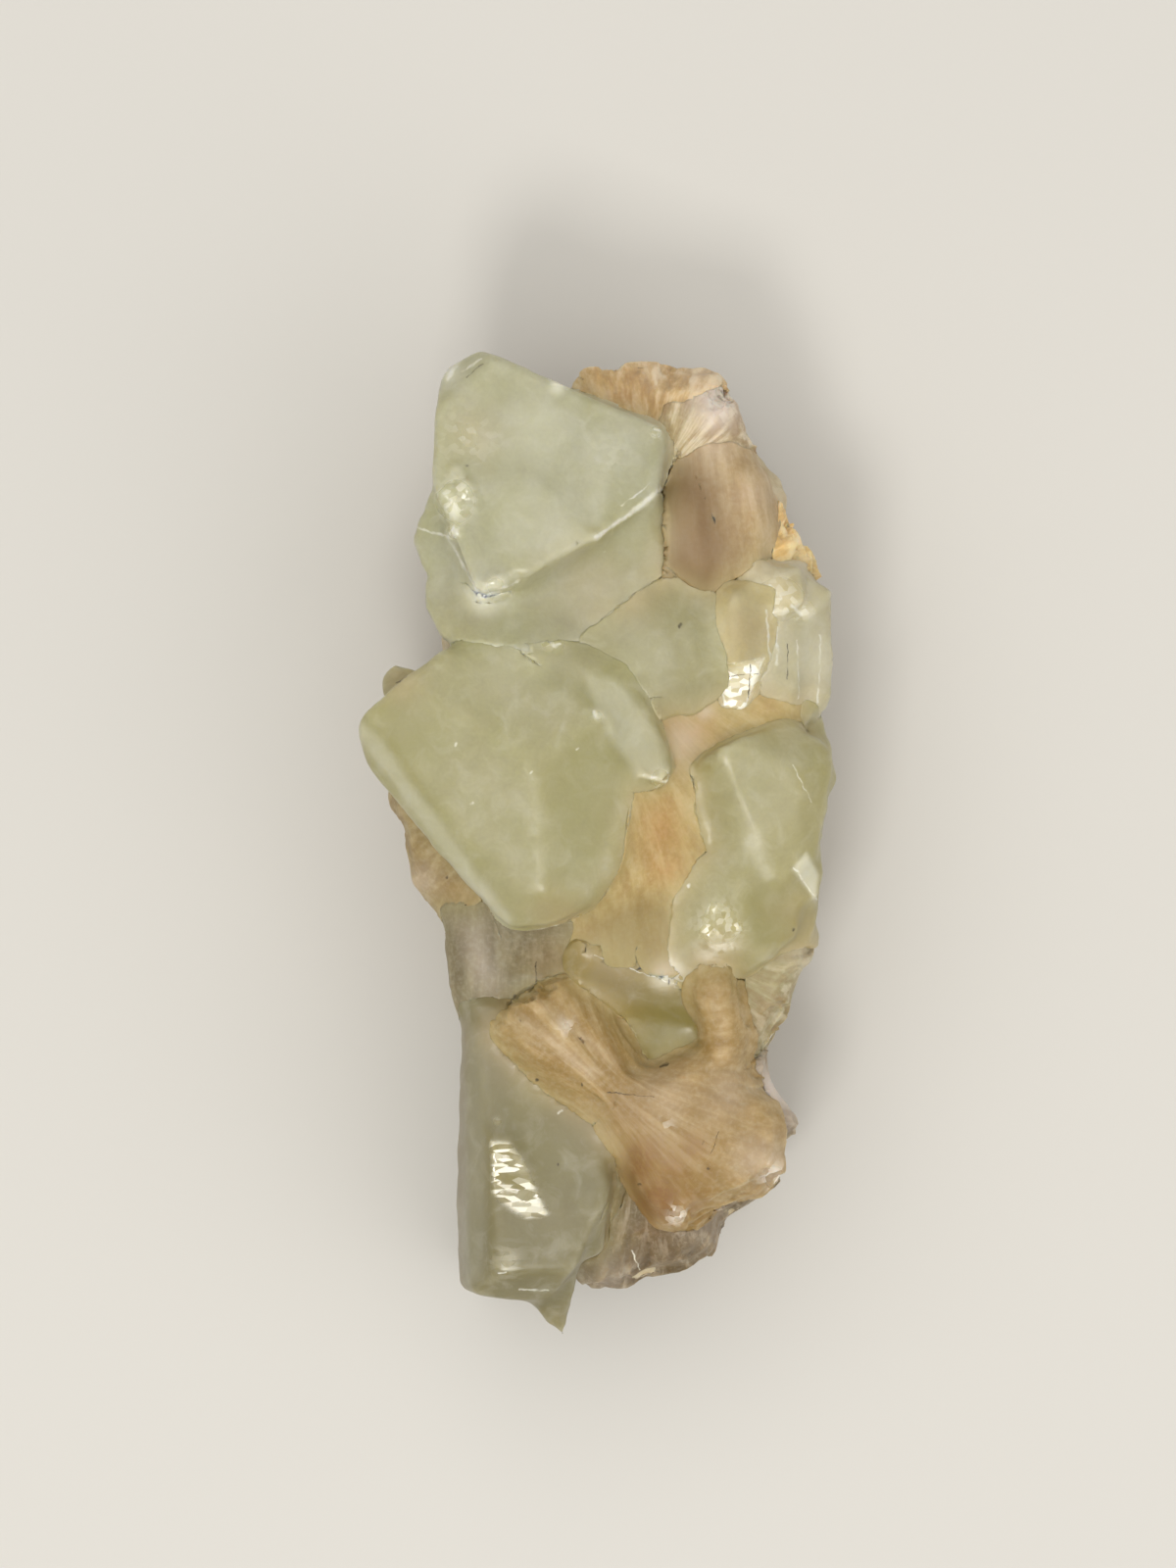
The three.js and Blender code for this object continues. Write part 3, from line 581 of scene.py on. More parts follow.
def marked(tree, place, lines):
    """1 on lines in the plan: x, y, x, y and half the width in mm. A dot ends where it starts."""
    drift = add(tree, "TexNoise", {"Vector": place, "Scale": 0.9, "Detail": 3.0}, output="Color")
    drift = add(tree, "VectorMath", {0: drift, 1: (0.5, 0.5, 0.5)}, operation="SUBTRACT")
    drifted = add(tree, "VectorMath", {0: drift, 1: (0.6, 0.6, 0.0), 2: place}, operation="MULTIPLY_ADD")
    flat = add(tree, "VectorMath", {0: drifted, 1: (1, 1, 0)}, operation="MULTIPLY")
    total = 0.0
    for x1, y1, x2, y2, half in lines:
        away = add(tree, "VectorMath", {0: flat, 1: (x1, y1, 0)}, operation="SUBTRACT")
        along = np.array([x2 - x1, y2 - y1, 0])
        if along.any():
            unit = along / (along @ along)
            share = add(tree, "VectorMath", {0: away, 1: unit}, output="Value", operation="DOT_PRODUCT")
            share = add(tree, "Clamp", {0: share})
            beside = add(tree, "VectorMath", {0: along, "Scale": share}, operation="SCALE")
            away = add(tree, "VectorMath", {0: away, 1: beside}, operation="SUBTRACT")
        length = add(tree, "VectorMath", {0: away}, output="Value", operation="LENGTH")
        mark = add(tree, "MapRange", {"Value": length, 1: half, 2: 0.3 * half})
        total = add(tree, "Math", {0: total, 1: mark}, operation="MAXIMUM")
    cloud = add(tree, "TexNoise", {"Vector": place, "Scale": 1 / 1.1, "Detail": 3.0})
    broken = add(tree, "MapRange", {"Value": cloud, 1: 0.35, 2: 0.55, 3: 0.15, 4: 0.85})
    return add(tree, "Math", {0: total, 1: broken}, operation="MULTIPLY")


print("frost in linear light:", [round(part, 2) for part in linear("#efeee0")])


# %% [markdown]
# Where a crystal broke, many small faces each point a little another way. Cells of noise stand for
# them: each has its own random colour, of which all three parts turn its face, so that some of them
# reflect a lamp. One part also paints many cells white: partly the frost of the fracture, and partly
# a painted glint, as if those cells mirrored the lamps.


# %% Broken faces
FINEST = 0.1  # mm that the grain of a surface stands out


def broken_faces(tree, place, glint, cell, height, strength):
    """Where broken faces are painted white, frost and painted glint, and how the surface faces there and
    elsewhere.
    """
    cells = add(tree, "VectorMath", {0: place, 1: cell}, operation="DIVIDE")
    cell_colour = add(tree, "TexVoronoi", {"Vector": cells, "Scale": 1.0}, output="Color")
    white = add(tree, "MapRange", {"Value": cell_colour, 1: 0.45, 2: 0.65})
    white = add(tree, "Math", {0: white, 1: glint}, operation="MULTIPLY")
    turn = add(tree, "VectorMath", {0: cell_colour, 1: (0.5, 0.5, 0.5)}, operation="SUBTRACT")
    much = add(tree, "Math", {0: glint, 1: 0.9}, operation="MULTIPLY")
    turn = add(tree, "VectorMath", {0: turn, "Scale": much}, operation="SCALE")
    bump = add(tree, "Bump", {"Height": height, "Strength": strength, "Distance": FINEST * MM})
    facing = add(tree, "VectorMath", {0: bump, 1: turn}, operation="ADD")
    return white, add(tree, "VectorMath", {0: facing}, operation="NORMALIZE")


print("finest relief, mm:", FINEST)

# %% [markdown]
# ## Apophyllite: the substance
#
# Apophyllite is a clear, glassy mineral with an IOR of about 1.535. These crystals are full of fine
# veils and bubbles, so they look like pale green, milky glass: part of the light passes through, and
# the rest scatters inside. The material mixes both. Plain transmission and a faint green absorption
# give the clear share, and subsurface scattering gives the milk. Clouds and veils of noise a few
# millimetres wide tint it. Near the peach stilbite it is painted warmer, as painted light: the colour
# that light carried through the contact would bring.


# %% Milky green apophyllite
# The pale tint is the frost of veils, grain and worn edges, and it also paints highlights and sparkles.
# The dusky tint is the dust of veils and grain, and it also paints shade into valleys. The darkest tint is
# specks and cracks, and it also paints one shade line into a groove.
FROST_AND_HIGHLIGHT = "#efeee0"
DUST_AND_SHADE = "#6f6040"
SPECK_AND_SHADE = "#33261a"
KEPT = ("relief", "near", "room", "stain", "milk", "deep", "glint")


def apophyllite(
    name, clear, milky, stain="#c8a87c", bright=(), dark=(), through=0.4, neighbour_light=0.3, cell=(0.8, 0.6, 0.8)
):
    """Pale crystal of two close tints, with painted light near stilbite and pale and dark lines in the
    plan.
    """
    material, tree, place, kept = new_material(name, KEPT)
    cloud = add(tree, "TexNoise", {"Vector": place, "Scale": 1 / 6, "Detail": 5.0, "Roughness": 0.6})
    veil = {"Vector": place, "Scale": 1 / 2.6, "Detail": 5.0, "Roughness": 0.6, "Distortion": 0.8}
    veil = add(tree, "TexNoise", veil)
    grain = add(tree, "TexNoise", {"Vector": place, "Scale": 1 / 0.4, "Detail": 3.0})
    white, facing = broken_faces(tree, place, kept["glint"], cell, grain, 0.12)
    cloudy = add(tree, "Math", {0: kept["milk"], 1: kept["glint"]}, operation="MAXIMUM")
    clear_share = add(tree, "MapRange", {"Value": cloudy, 1: 0.1, 2: 0.8, 3: through, 4: 0.05})
    roomy = add(tree, "MapRange", {"Value": kept["room"], 1: 0.0, 2: 2.5, 3: 0.6})
    clear_share = add(tree, "Math", {0: clear_share, 1: roomy}, operation="MULTIPLY")
    layers = [
        (cloud, 0.35, 0.65, 1.0, milky),
        (veil, 0.48, 0.75, 0.25, FROST_AND_HIGHLIGHT),
        (veil, 0.45, 0.25, 0.15, DUST_AND_SHADE),
        (grain, 0.35, 0.65, 0.08, DUST_AND_SHADE),
        (kept["deep"], 0.0, 1.0, 1.0, "#a29c5c"),
        (kept["stain"], 0.0, 1.0, 1.0, stain),
        (kept["milk"], 0.0, 1.0, 1.0, "#dcdccf"),
        # painted light near the stilbite: the peach that light carried through the contact would bring
        (kept["near"], 0.1, 1.0, neighbour_light, "#c4a678"),
        # edges painted paler, partly the frost of wear and partly a painted highlight; valleys painted
        # darker as painted shade
        (kept["relief"], 0.2, 1.0, 0.25, FROST_AND_HIGHLIGHT),
        (kept["relief"], -0.3, -1.0, 0.1, DUST_AND_SHADE),
        # broken faces painted white: the frost of the fracture and a painted glint
        (white, 0.0, 1.0, 1.0, "#fbf9ec"),
    ]
    # pale lines and dots: frost along some edges and cracks, and painted highlights and sparkles
    layers += [(marked(tree, place, bright), 0.0, 1.0, 1.0, FROST_AND_HIGHLIGHT)] if bright else []
    layers += [(marked(tree, place, dark), 0.0, 1.0, 1.0, SPECK_AND_SHADE)] if dark else []
    wander = {"Value": kept["room"], 1: 0.0, 2: WIDEST, 3: 0.15 * MM, 4: 4.5 * MM}
    surface = {
        "Base Color": layered(tree, linear(clear), layers),
        "Roughness": add(tree, "MapRange", {"Value": kept["glint"], 1: 0.1, 2: 0.4, 3: 0.34, 4: 0.12}),
        "IOR": 1.535,
        "Subsurface Weight": 1.0,
        "Subsurface Radius": (1.0, 0.9, 0.6),
        "Subsurface Scale": add(tree, "MapRange", wander),
        "Transmission Weight": clear_share,
        "Normal": facing,
    }
    haze = {"Color": linear("#d8e0b8"), "Density": 22.0}
    output = add(tree, "OutputMaterial", {"Surface": add(tree, "BsdfPrincipled", surface)})
    tree.links.new(add(tree, "VolumeAbsorption", haze), output.inputs["Volume"])
    return material


print("what apophyllite reads from the mesh:", KEPT)

# %% [markdown]
# ## The green crystals
#
# Each group of crystals is one piece. The broad upper crystal is the palest, milky where its terrace
# lies. Glassy droplets grew on its left shoulder, and a bright ridge runs below its front.


# %% Upper crystal
def hand_over(skin, material):
    """Finishes a piece: it rides on the cluster, stands for its solid and takes its material."""
    skin.store()
    piece = skin.object
    piece.data.materials.clear()
    piece.data.materials.append(material)
    piece.data.shade_smooth()
    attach(piece, "root")
    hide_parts(skin.node)
    print(piece.name, "triangles:", 2 * len(skin.corners()))
    return piece


DROPLETS = [  # x, y, radius and height
    (-14.4, 38.0, 1.3, 0.35),
    (-13.4, 36.4, 1.3, 0.45),
    (-15.3, 35.8, 1.1, 0.4),
    (-14.6, 34.3, 1.2, 0.45),
    (-14.7, 32.0, 1.0, 0.5),
    (-10.2, 26.5, 1.7, 0.5),
    (-11.6, 25.5, 0.8, 0.35),
]


def upper_forms(p):
    """Droplets and growth ridges on the upper crystal."""
    drops = sum(dome(p, (x, y), radius, height) for x, y, radius, height in DROPLETS)
    front = ridge(p, (-0.2, 31.4), (6.5, 36.3), 0.5, 0.3) + ridge(p, (-0.4, 31.4), (-8.2, 26.8), 0.6, 0.15)
    middle = ridge(p, (-0.2, 31.4), (-0.4, 41.5), 1.4, 0.12)
    return drops + front + middle + ridge(p, (-15.0, 31.0), (-11.8, 25.6), 0.6, 0.3)


upper = skins["apophyllite_upper"]
grow_faces(upper, seed=3, forms=upper_forms)
paint_patches(
    upper,
    stain=[(0.1, -14, 23, 4), (0.22, 0, 25, 6), (0.15, -13, 42, 3)],
    milk=[
        (0.18, [(-11, 36.2), (-9.8, 30.5), (-4.5, 29.0), (-0.4, 31.5), (-1.5, 34.0), (-6.5, 37.5)], 2.5),
        (0.15, [(-0.4, 31.5), (3.4, 43.0), (-1.8, 42.0)], 1.5),
        (0.1, 1.5, 41, 3),
        (0.25, -6, 42.5, 4),
        (0.6, -4, 47, 1.0),
        (0.5, -15, 48.3, 1.5),
        (0.6, -12, 25.4, 1.6),
    ],
    deep=[(0.22, 4, 30, 4), (0.12, -12, 39, 3)],
    glint=[
        (0.45, -14.6, 35, 2.2),
        (0.3, -14.7, 32, 0.9),
        (0.3, 6, 42.2, 0.8),
        (0.3, -10.2, 26.5, 1.5),
        (0.22, -13.2, 41.5, 3.0),
        (0.15, 1.5, 40.5, 2.5),
    ],
)
upper_stone = apophyllite(
    "apophyllite_pale",
    "#bdbc94",
    "#c4c3a6",
    bright=[
        (-0.2, 31.3, 3.2, 33.6, 0.25),
        (3.2, 33.6, 6.5, 36.3, 0.4),
        (2.4, 34.6, 5.4, 36.8, 0.1),
        (-8.0, 26.9, -11.4, 25.4, 0.2),
        (-19.0, 32.6, -15.3, 31.5, 0.15),
        (-15.3, 31.4, -12.2, 26.0, 0.2),
        (-15.2, 47.6, -14.2, 49.4, 0.35),
        (-13.8, 48.3, -11.8, 49.5, 0.16),
        (-4.6, 47.0, -3.0, 46.6, 0.25),
        (0.7, 29.9, 0.7, 29.9, 0.2),
        (-15.3, 34.3, -14.8, 35.2, 0.18),
        (-14.6, 34.9, -14.3, 34.2, 0.14),
        (-15.0, 31.7, -14.6, 32.3, 0.16),
        (5.9, 42.4, 6.3, 42.2, 0.16),
        (-2.6, 20.2, -2.1, 19.8, 0.25),
    ],
    dark=[
        (-13.4, 47.7, -11.7, 49.0, 0.1),
        (-13.2, 38.6, -13.2, 38.6, 0.2),
        # a painted shade line in the groove between this crystal and the saddle
        (-1.9, 20.2, 0.8, 22.6, 0.16),
    ],
)
hand_over(upper, upper_stone)


# %% [markdown]
# The middle crystal is the largest. Its broad end is a low three-sided point, and a plate leans on
# its right. The faces of the point differ by a shade more than by their slope, so one of them is
# deepened with a patch that has the outline of the face, and the lips of the plate are raised.


# %% Middle crystal
def middle_forms(p):
    """The bright lips of the plate and of the lower edge."""
    return ridge(p, (4.6, 7.2), (7.7, 6.4), 0.4, 0.3) + ridge(p, (-8.2, -8.8), (0.0, -6.9), 0.5, 0.3)


middle = skins["apophyllite_middle"]
grow_faces(middle, seed=5, forms=middle_forms)
paint_patches(
    middle,
    stain=[(0.3, -20, 17, 2.5), (0.3, -4, -7.5, 3)],
    milk=[
        (0.18, -8, 18, 4),
        (0.3, [(-25.0, 11.6), (-9.8, -8.4), (-8.6, -7.6), (-23.4, 12.8)]),
        (0.3, [(2.6, 7.0), (7.4, 7.0), (6.0, 11.5), (2.0, 17.0), (-3.0, 18.0), (0.5, 12.5)]),
    ],
    deep=[
        (0.4, [(-6.4, 6.75), (-3.9, -0.1), (-0.1, -1.4), (2.4, 5.0), (2.4, 8.0), (0.5, 13.0)]),
        (0.5, -19.5, 11.5, 4),
        (0.3, -5, -3.5, 4),
    ],
    glint=[(0.3, 0.1, 13.2, 0.7), (0.4, -4.5, 20.6, 1.2), (0.5, 6.4, 6.7, 1.0)],
)
middle_stone = apophyllite(
    "apophyllite_green",
    "#b5b17f",
    "#bcb78d",
    bright=[
        (4.7, 7.1, 7.7, 6.4, 0.25),
        (-8.2, -9.2, -4.0, -8.2, 0.22),
        (-4.0, -8.2, 0.0, -6.9, 0.16),
        (-0.3, 13.6, -0.1, 12.9, 0.28),
        (-4.9, 21.0, -4.4, 20.3, 0.28),
        (-4.2, 20.4, -3.8, 20.6, 0.2),
        (-14.4, 10.2, -14.4, 10.3, 0.2),
        (-6.7, 7.4, -6.6, 7.6, 0.16),
        (-2.1, 9.8, -1.9, 9.9, 0.16),
        (-12.8, 4.3, -12.6, 4.4, 0.2),
    ],
    dark=[(-20.4, 16.5, -19.4, 17.2, 0.12)],
)
hand_over(middle, middle_stone)

# %% [markdown]
# The smaller crystals fill the rest. The saddle between the two large ones is soft and smooth. The
# crystals at the right grew into each other, so low ridges part their faces, and where a corner of
# them was knocked off, small broken faces glitter.

# %% Saddle and right crystals
saddle = skins["apophyllite_saddle"]
grow_faces(saddle, seed=11)
paint_patches(saddle, milk=[(0.2, 5, 19, 3)], deep=[(0.3, 9, 16.5, 2.5)], stain=[(0.25, 4, 25, 2.5)])
saddle_stone = apophyllite(
    "apophyllite_saddle_green", "#b6b184", "#bdb890", dark=[(8.35, 22.3, 8.5, 22.5, 0.25)]
)
hand_over(saddle, saddle_stone)


def right_forms(p):
    """The edges between the faces of the right crystals."""
    crests = ridge(p, (12.8, 9.9), (15.2, 4.0), 0.9, 0.06) + ridge(p, (15.2, 4.0), (16.7, 1.2), 0.9, 0.05)
    return crests + ridge(p, (19.8, 8.5), (22.0, 4.0), 0.9, 0.08)


right = skins["apophyllite_right"]
grow_faces(right, seed=13, forms=right_forms, ragged=0.25)
paint_patches(
    right,
    stain=[(0.3, 12, -12, 3), (0.2, 21, -8, 4)],
    milk=[
        (0.12, [(12.8, 9.9), (15.2, 4.2), (16.7, 1.2), (20.5, 3.0), (19.8, 8.5), (15.0, 12.5)]),
        (0.6, [(19.9, -2.2), (22.2, -5.6), (22.7, -3.0), (21.5, -0.6)], 0.5),
        (0.9, 7.6, -13.3, 1.6),
    ],
    deep=[
        (0.5, [(14.5, -5.5), (16.0, -10.5), (20.5, -10.0), (21.5, -6.0), (17.5, -3.2)]),
        (0.12, [(9.2, 7.5), (10.8, -1.5), (15.0, 3.8), (12.8, 9.6)]),
    ],
    glint=[(0.4, 12.4, -8.2, 2.2), (0.8, 11.2, -8.6, 0.7), (0.7, 14.0, -8.4, 0.6), (0.7, 11.8, -6.6, 0.6)],
)
right_stone = apophyllite(
    "apophyllite_right_green",
    "#b4ae7a",
    "#bbb587",
    cell=(0.5, 0.5, 0.5),
    bright=[(20.0, 8.2, 21.8, 4.4, 0.1), (20.0, -2.2, 22.4, -5.5, 0.12), (9.4, -4.1, 9.4, -4.0, 0.25)],
    dark=[(20.0, -8.6, 20.0, -8.5, 0.2)],
)
hand_over(right, right_stone)

# %% [markdown]
# The shard is the clearest of all and ends in a bright, cracked face, so it lets more light through.
# The blades beside it are thin crystals that stand side by side: deeper grooves part them, and their
# heads are broken.

# %% Shard and side blades
BROKEN_END = [(12.05, 18.0), (12.95, 14.0), (15.0, 13.8), (17.05, 19.0)]

shard = skins["apophyllite_shard"]
grow_faces(shard, seed=17, groove=0.1)
# the broken end is painted white: the frost of its cracks and a painted glint
paint_patches(shard, milk=[(0.5, BROKEN_END)], glint=[(0.8, BROKEN_END)], stain=[(0.2, 15, 22, 3)])
shard_stone = apophyllite(
    "apophyllite_clear",
    "#d0c38f",
    "#dace9d",
    bright=[
        (13.0, 14.4, 12.3, 18.0, 0.15),
        (16.9, 19.0, 15.0, 14.2, 0.15),
        (17.6, 19.0, 17.2, 24.0, 0.15),
    ],
    dark=[(15.4, 15.0, 15.6, 18.4, 0.1), (13.4, 17.2, 16.4, 17.6, 0.07)],
    through=0.5,
)
hand_over(shard, shard_stone)

blades = skins["apophyllite_side_blades"]
grow_faces(blades, seed=19, groove=0.16, ragged=0.2)
paint_patches(
    blades,
    stain=[(0.2, 19, 26, 2)],
    milk=[(0.3, 22, 19, 3)],
    glint=[(0.45, 18.6, 25.4, 2.4), (0.5, 21, 24, 1.2)],
)
blade_stone = apophyllite(
    "apophyllite_side_green",
    "#ccc6a0",
    "#d3ccae",
    bright=[
        (18.3, 18.4, 18.3, 22.4, 0.18),
        (20.6, 15.0, 20.4, 21.0, 0.1),
        (22.6, 14.5, 22.8, 21.5, 0.12),
        (17.6, 26.4, 18.6, 25.2, 0.3),
        (19.8, 24.4, 20.8, 23.6, 0.25),
    ],
    dark=[(19.4, 17.0, 19.4, 20.5, 0.07)],
)
hand_over(blades, blade_stone)

# %% [markdown]
# The lower block carries a panel of small steps where a neighbour broke away. The steps lie across
# the crystal, so the cells of its broken faces are wide and low. The wedge is pinched between the
# sheaves and grew in their shade, which left it olive.

# %% Lower block and wedge
PANEL = [(-10.8, -30.2), (-10.7, -35.8), (-7.2, -38.2), (-5.1, -37.8), (-8.8, -30.3)]

block = skins["apophyllite_lower"]
grow_faces(block, seed=23)
paint_patches(
    block,
    stain=[(0.3, [(-16.0, -46.5), (-13.7, -45.5), (-13.3, -18.0), (-15.0, -18.0)]), (0.2, -6, -18, 4)],
    milk=[(0.15, [(-13.6, -45.5), (-11.6, -44.5), (-11.3, -19.0), (-13.2, -18.0)])],
    deep=[(0.15, -5, -31, 4), (0.3, -7, -25, 3)],
    # the panel's cells are painted white: the frost of its steps and a painted glint
    glint=[
        (0.8, PANEL, 0.5),
        (0.6, -10.2, -28.2, 0.4),
        (0.25, -9, -42.4, 1.6),
    ],
)
block_stone = apophyllite(
    "apophyllite_grey_green",
    "#8e865e",
    "#968e6a",
    stain="#b3a391",
    cell=(1.7, 0.5, 1.0),
    bright=[
        (-8.0, -45.3, -5.0, -45.5, 0.14),
        (-4.0, -27.4, -3.6, -27.1, 0.16),
        (-10.2, -43.6, -9.2, -43.5, 0.1),
    ],
    dark=[(-4.0, -32.6, -4.0, -32.5, 0.14)],
)
hand_over(block, block_stone)

wedge = skins["apophyllite_wedge"]
grow_faces(wedge, seed=29)
paint_patches(
    wedge,
    stain=[(0.15, 1, -13, 3)],
    milk=[(0.1, [(-1.8, -15.2), (10.6, -17.0), (10.8, -15.4), (-0.2, -11.3)]), (0.9, 6.8, -13.3, 1.6)],
    deep=[(0.6, 8, -19.5, 4)],
)
wedge_stone = apophyllite(
    "apophyllite_olive",
    "#a19155",
    "#aa9a61",
    neighbour_light=0.12,
    bright=[(-0.3, -11.2, 10.8, -15.2, 0.07)],
)
hand_over(wedge, wedge_stone)

# %% [markdown]
# ## Stilbite: the shape
#
# Stilbite grows as sheaves: many thin blades that are tied in the middle like a bundle of straw, and
# spread from there. Grown together they make a rounded, ribbed mass whose rim shows the blades' ends.
# So every point of a sheaf gets coordinates that follow the blades: how far across them it lies, how
# far along them, and how high. Relief that is stretched in these coordinates makes ribs.


# %% Ribs along the blades
def along_blades(skin, heart, facing, waist):
    """Places across, along and above the blades, in mm.

    The blades are tied at the heart, face this way in degrees, and are parallel for as far as the
    waist is wide.
    """
    ahead, aside = np.cos(np.radians([facing, facing - 90])), np.sin(np.radians([facing, facing - 90]))
    spread = skin.points[:, :2] - heart
    along, across = spread @ (ahead[0], aside[0]), spread @ (ahead[1], aside[1])
    far = np.hypot(along, waist)
    reach = np.median(np.hypot(far, across))
    return np.stack([reach * np.arctan2(across, far), 0.12 * along, 0.4 * skin.points[:, 2]], 1)


def spread_ribs(skin, blades, width, depth, seed, forms=None, lump=0.25, ragged=0.4):
    """Ribs of a width and depth along the blades, with ragged ends at the rim, and extra forms."""
    across = along_blades(skin, *blades)
    skin.paint("blades", across)
    groove = np.abs(lumps(across, width, seed)) ** 0.6
    fine = np.abs(lumps(across, 0.4 * width, seed + 1)) ** 0.7
    height = depth * (groove - 0.6) + 0.35 * depth * (fine - 0.6)
    height += lump * lumps(skin.points, 5, seed + 2) + 0.25 * lump * lumps(skin.points, 1.8, seed + 3)
    outward = skin.points[:, :2] - blades[0]
    outward /= np.linalg.norm(outward, axis=1)[:, None]
    ends = np.clip(np.sum(skin.normals()[:, :2] * outward, axis=1) - 0.3, 0, 1) * skin.outer
    blade = np.floor(2.5 * lumps(across, 1.6 * width, seed + 4)) / 2.5
    if forms is not None:
        height += forms(skin.points) * np.clip(2 * skin.normals()[:, 2] - 0.4, 0, 1)
    raise_skin(skin, height)
    skin.points[:, :2] += outward * (ragged * blade * ends)[:, None]


print("sheaves to spread:", len(SHEAVES) - 1)

# %% [markdown]
# ## Stilbite: the substance
#
# Stilbite is softer and duller than apophyllite, with a pearly gleam along its blades and an IOR of
# about 1.5. It is white when pure, and traces of iron make it peach to orange. The colour runs in
# faint streaks along the blades, because each took up a little more or less iron as it grew. Little
# light passes straight through, so the scattering carries the look.


# %% Peach stilbite
def stilbite(name, pale, deep, stain="#a9743c", dusk="#8f7350", streaks=0.1, bright=(), dark=()):
    """Pearly sheaf between two tints, faintly streaked along its blades."""
    material, tree, place, kept = new_material(name, KEPT)
    blades = add(tree, "Attribute", output="Vector", attribute_name="blades")
    streak = add(tree, "TexNoise", {"Vector": blades, "Scale": 1 / 1.1, "Detail": 4.0, "Roughness": 0.6})
    cloud = add(tree, "TexNoise", {"Vector": place, "Scale": 1 / 3.5, "Detail": 5.0, "Roughness": 0.6})
    grain = add(tree, "TexNoise", {"Vector": place, "Scale": 1 / 0.5, "Detail": 4.0, "Roughness": 0.6})
    fine = add(tree, "TexNoise", {"Vector": blades, "Scale": 1 / 0.4, "Detail": 3.0})
    white, facing = broken_faces(tree, place, kept["glint"], (0.9, 0.9, 0.9), fine, 0.2)
    tone = add(tree, "Math", {0: streak, 1: cloud}, operation="ADD")
    uneven = add(tree, "MapRange", {"Value": grain, 1: 0.35, 2: 0.6, 3: 0.6, 4: 1.15})
    rusty = add(tree, "Math", {0: kept["stain"], 1: uneven}, operation="MULTIPLY")
    layers = [
        (tone, 1.15, 0.85, 1.0, deep),
        (streak, 0.5, 0.62, streaks, "#f0e4cc"),
        (streak, 0.5, 0.38, streaks, dusk),
        (grain, 0.45, 0.75, 0.12, FROST_AND_HIGHLIGHT),
        (grain, 0.45, 0.3, 0.1, DUST_AND_SHADE),
        (rusty, 0.0, 1.0, 1.0, stain),
        (kept["deep"], 0.0, 1.0, 1.0, dusk),
        (kept["milk"], 0.0, 1.0, 1.0, "#ddd0c4"),
        # painted light near the crystals: the green that light carried through the contact would bring
        (kept["near"], 0.1, 1.0, 0.4, "#aea476"),
        # rib crests painted paler as a painted highlight, hollows painted darker as painted shade
        (kept["relief"], 0.1, 1.0, 0.3, "#ecdcb4"),
        (kept["relief"], -0.1, -1.0, 0.15, stain),
        # broken faces painted white: the frost of the fracture and a painted glint
        (white, 0.0, 1.0, 1.0, "#fbf6ea"),
    ]
    # pale lines and dots: frost along some edges and cracks, and painted highlights and sparkles
    layers += [(marked(tree, place, bright), 0.0, 1.0, 1.0, FROST_AND_HIGHLIGHT)] if bright else []
    layers += [(marked(tree, place, dark), 0.0, 1.0, 1.0, SPECK_AND_SHADE)] if dark else []
    wander = {"Value": kept["room"], 1: 0.0, 2: WIDEST, 3: 0.15 * MM, 4: 3.5 * MM}
    surface = {
        "Base Color": layered(tree, linear(pale), layers),
        "Roughness": add(tree, "MapRange", {"Value": kept["glint"], 1: 0.1, 2: 0.4, 3: 0.55, 4: 0.2}),
        "IOR": 1.5,
        "Subsurface Weight": 1.0,
        "Subsurface Radius": (1.0, 0.75, 0.5),
        "Subsurface Scale": add(tree, "MapRange", wander),
        "Transmission Weight": 0.1,
        "Normal": facing,
    }
    add(tree, "OutputMaterial", {"Surface": add(tree, "BsdfPrincipled", surface)})
    return material


print("what stilbite reads from the mesh:", (*KEPT, "blades"))

# %% [markdown]
# ## The sheaves
#
# From the top down: a tan fan with a white one under it, a closed sheaf with a dark rounded end,
# orange blades down the rim, the sheaves in the middle, a lobe at the left, pale plates at the right,
# and below them the bow-tie, whose rods and fan meet in a narrow waist over a skirt of plates.

# %% Upper sheaves
crest = skins["stilbite_crest_fan"]
spread_ribs(crest, ((4.0, 36.0), 90, 4), width=1.4, depth=0.3, seed=410, ragged=1.2)
paint_patches(
    crest,
    stain=[(0.65, 2.5, 45, 2.5), (0.4, -0.5, 47, 1.5)],
    milk=[(0.3, 11, 48, 2.5), (0.2, 6, 49, 2.5)],
)
crest_stone = stilbite(
    "stilbite_tan_fan",
    "#ceb27f",
    "#b7955c",
    stain="#a57538",
    streaks=0.35,
    dark=[(-1.9, 47.8, -1.5, 47.6, 0.18), (4.2, 48.8, 5.0, 48.9, 0.12)],
)
hand_over(crest, crest_stone)

white_fan = skins["stilbite_white_fan"]
spread_ribs(white_fan, ((6.8, 38.0), 55, 3), width=1.2, depth=0.26, seed=420, ragged=1.5)
paint_patches(
    white_fan,
    stain=[(0.15, 15, 43, 1.5)],
    milk=[(1.0, 12.3, 45.3, 2.6)],
    glint=[(0.45, 12.6, 45.6, 2)],
)
hand_over(white_fan, stilbite("stilbite_white", "#baa983", "#9c8259", streaks=0.5))


def closed_forms(p):
    """The rounded belly of the closed sheaf, and the lip of its pale cap."""
    return dome(p, (9.3, 31.5), 6.0, 1.1) + ridge(p, (6.4, 38.5), (13.0, 36.0), 0.8, 0.15)


DARK_END = [(2.5, 31), (5.5, 23.5), (12, 24), (14, 30), (12.4, 36.5), (9, 41), (4.5, 38)]

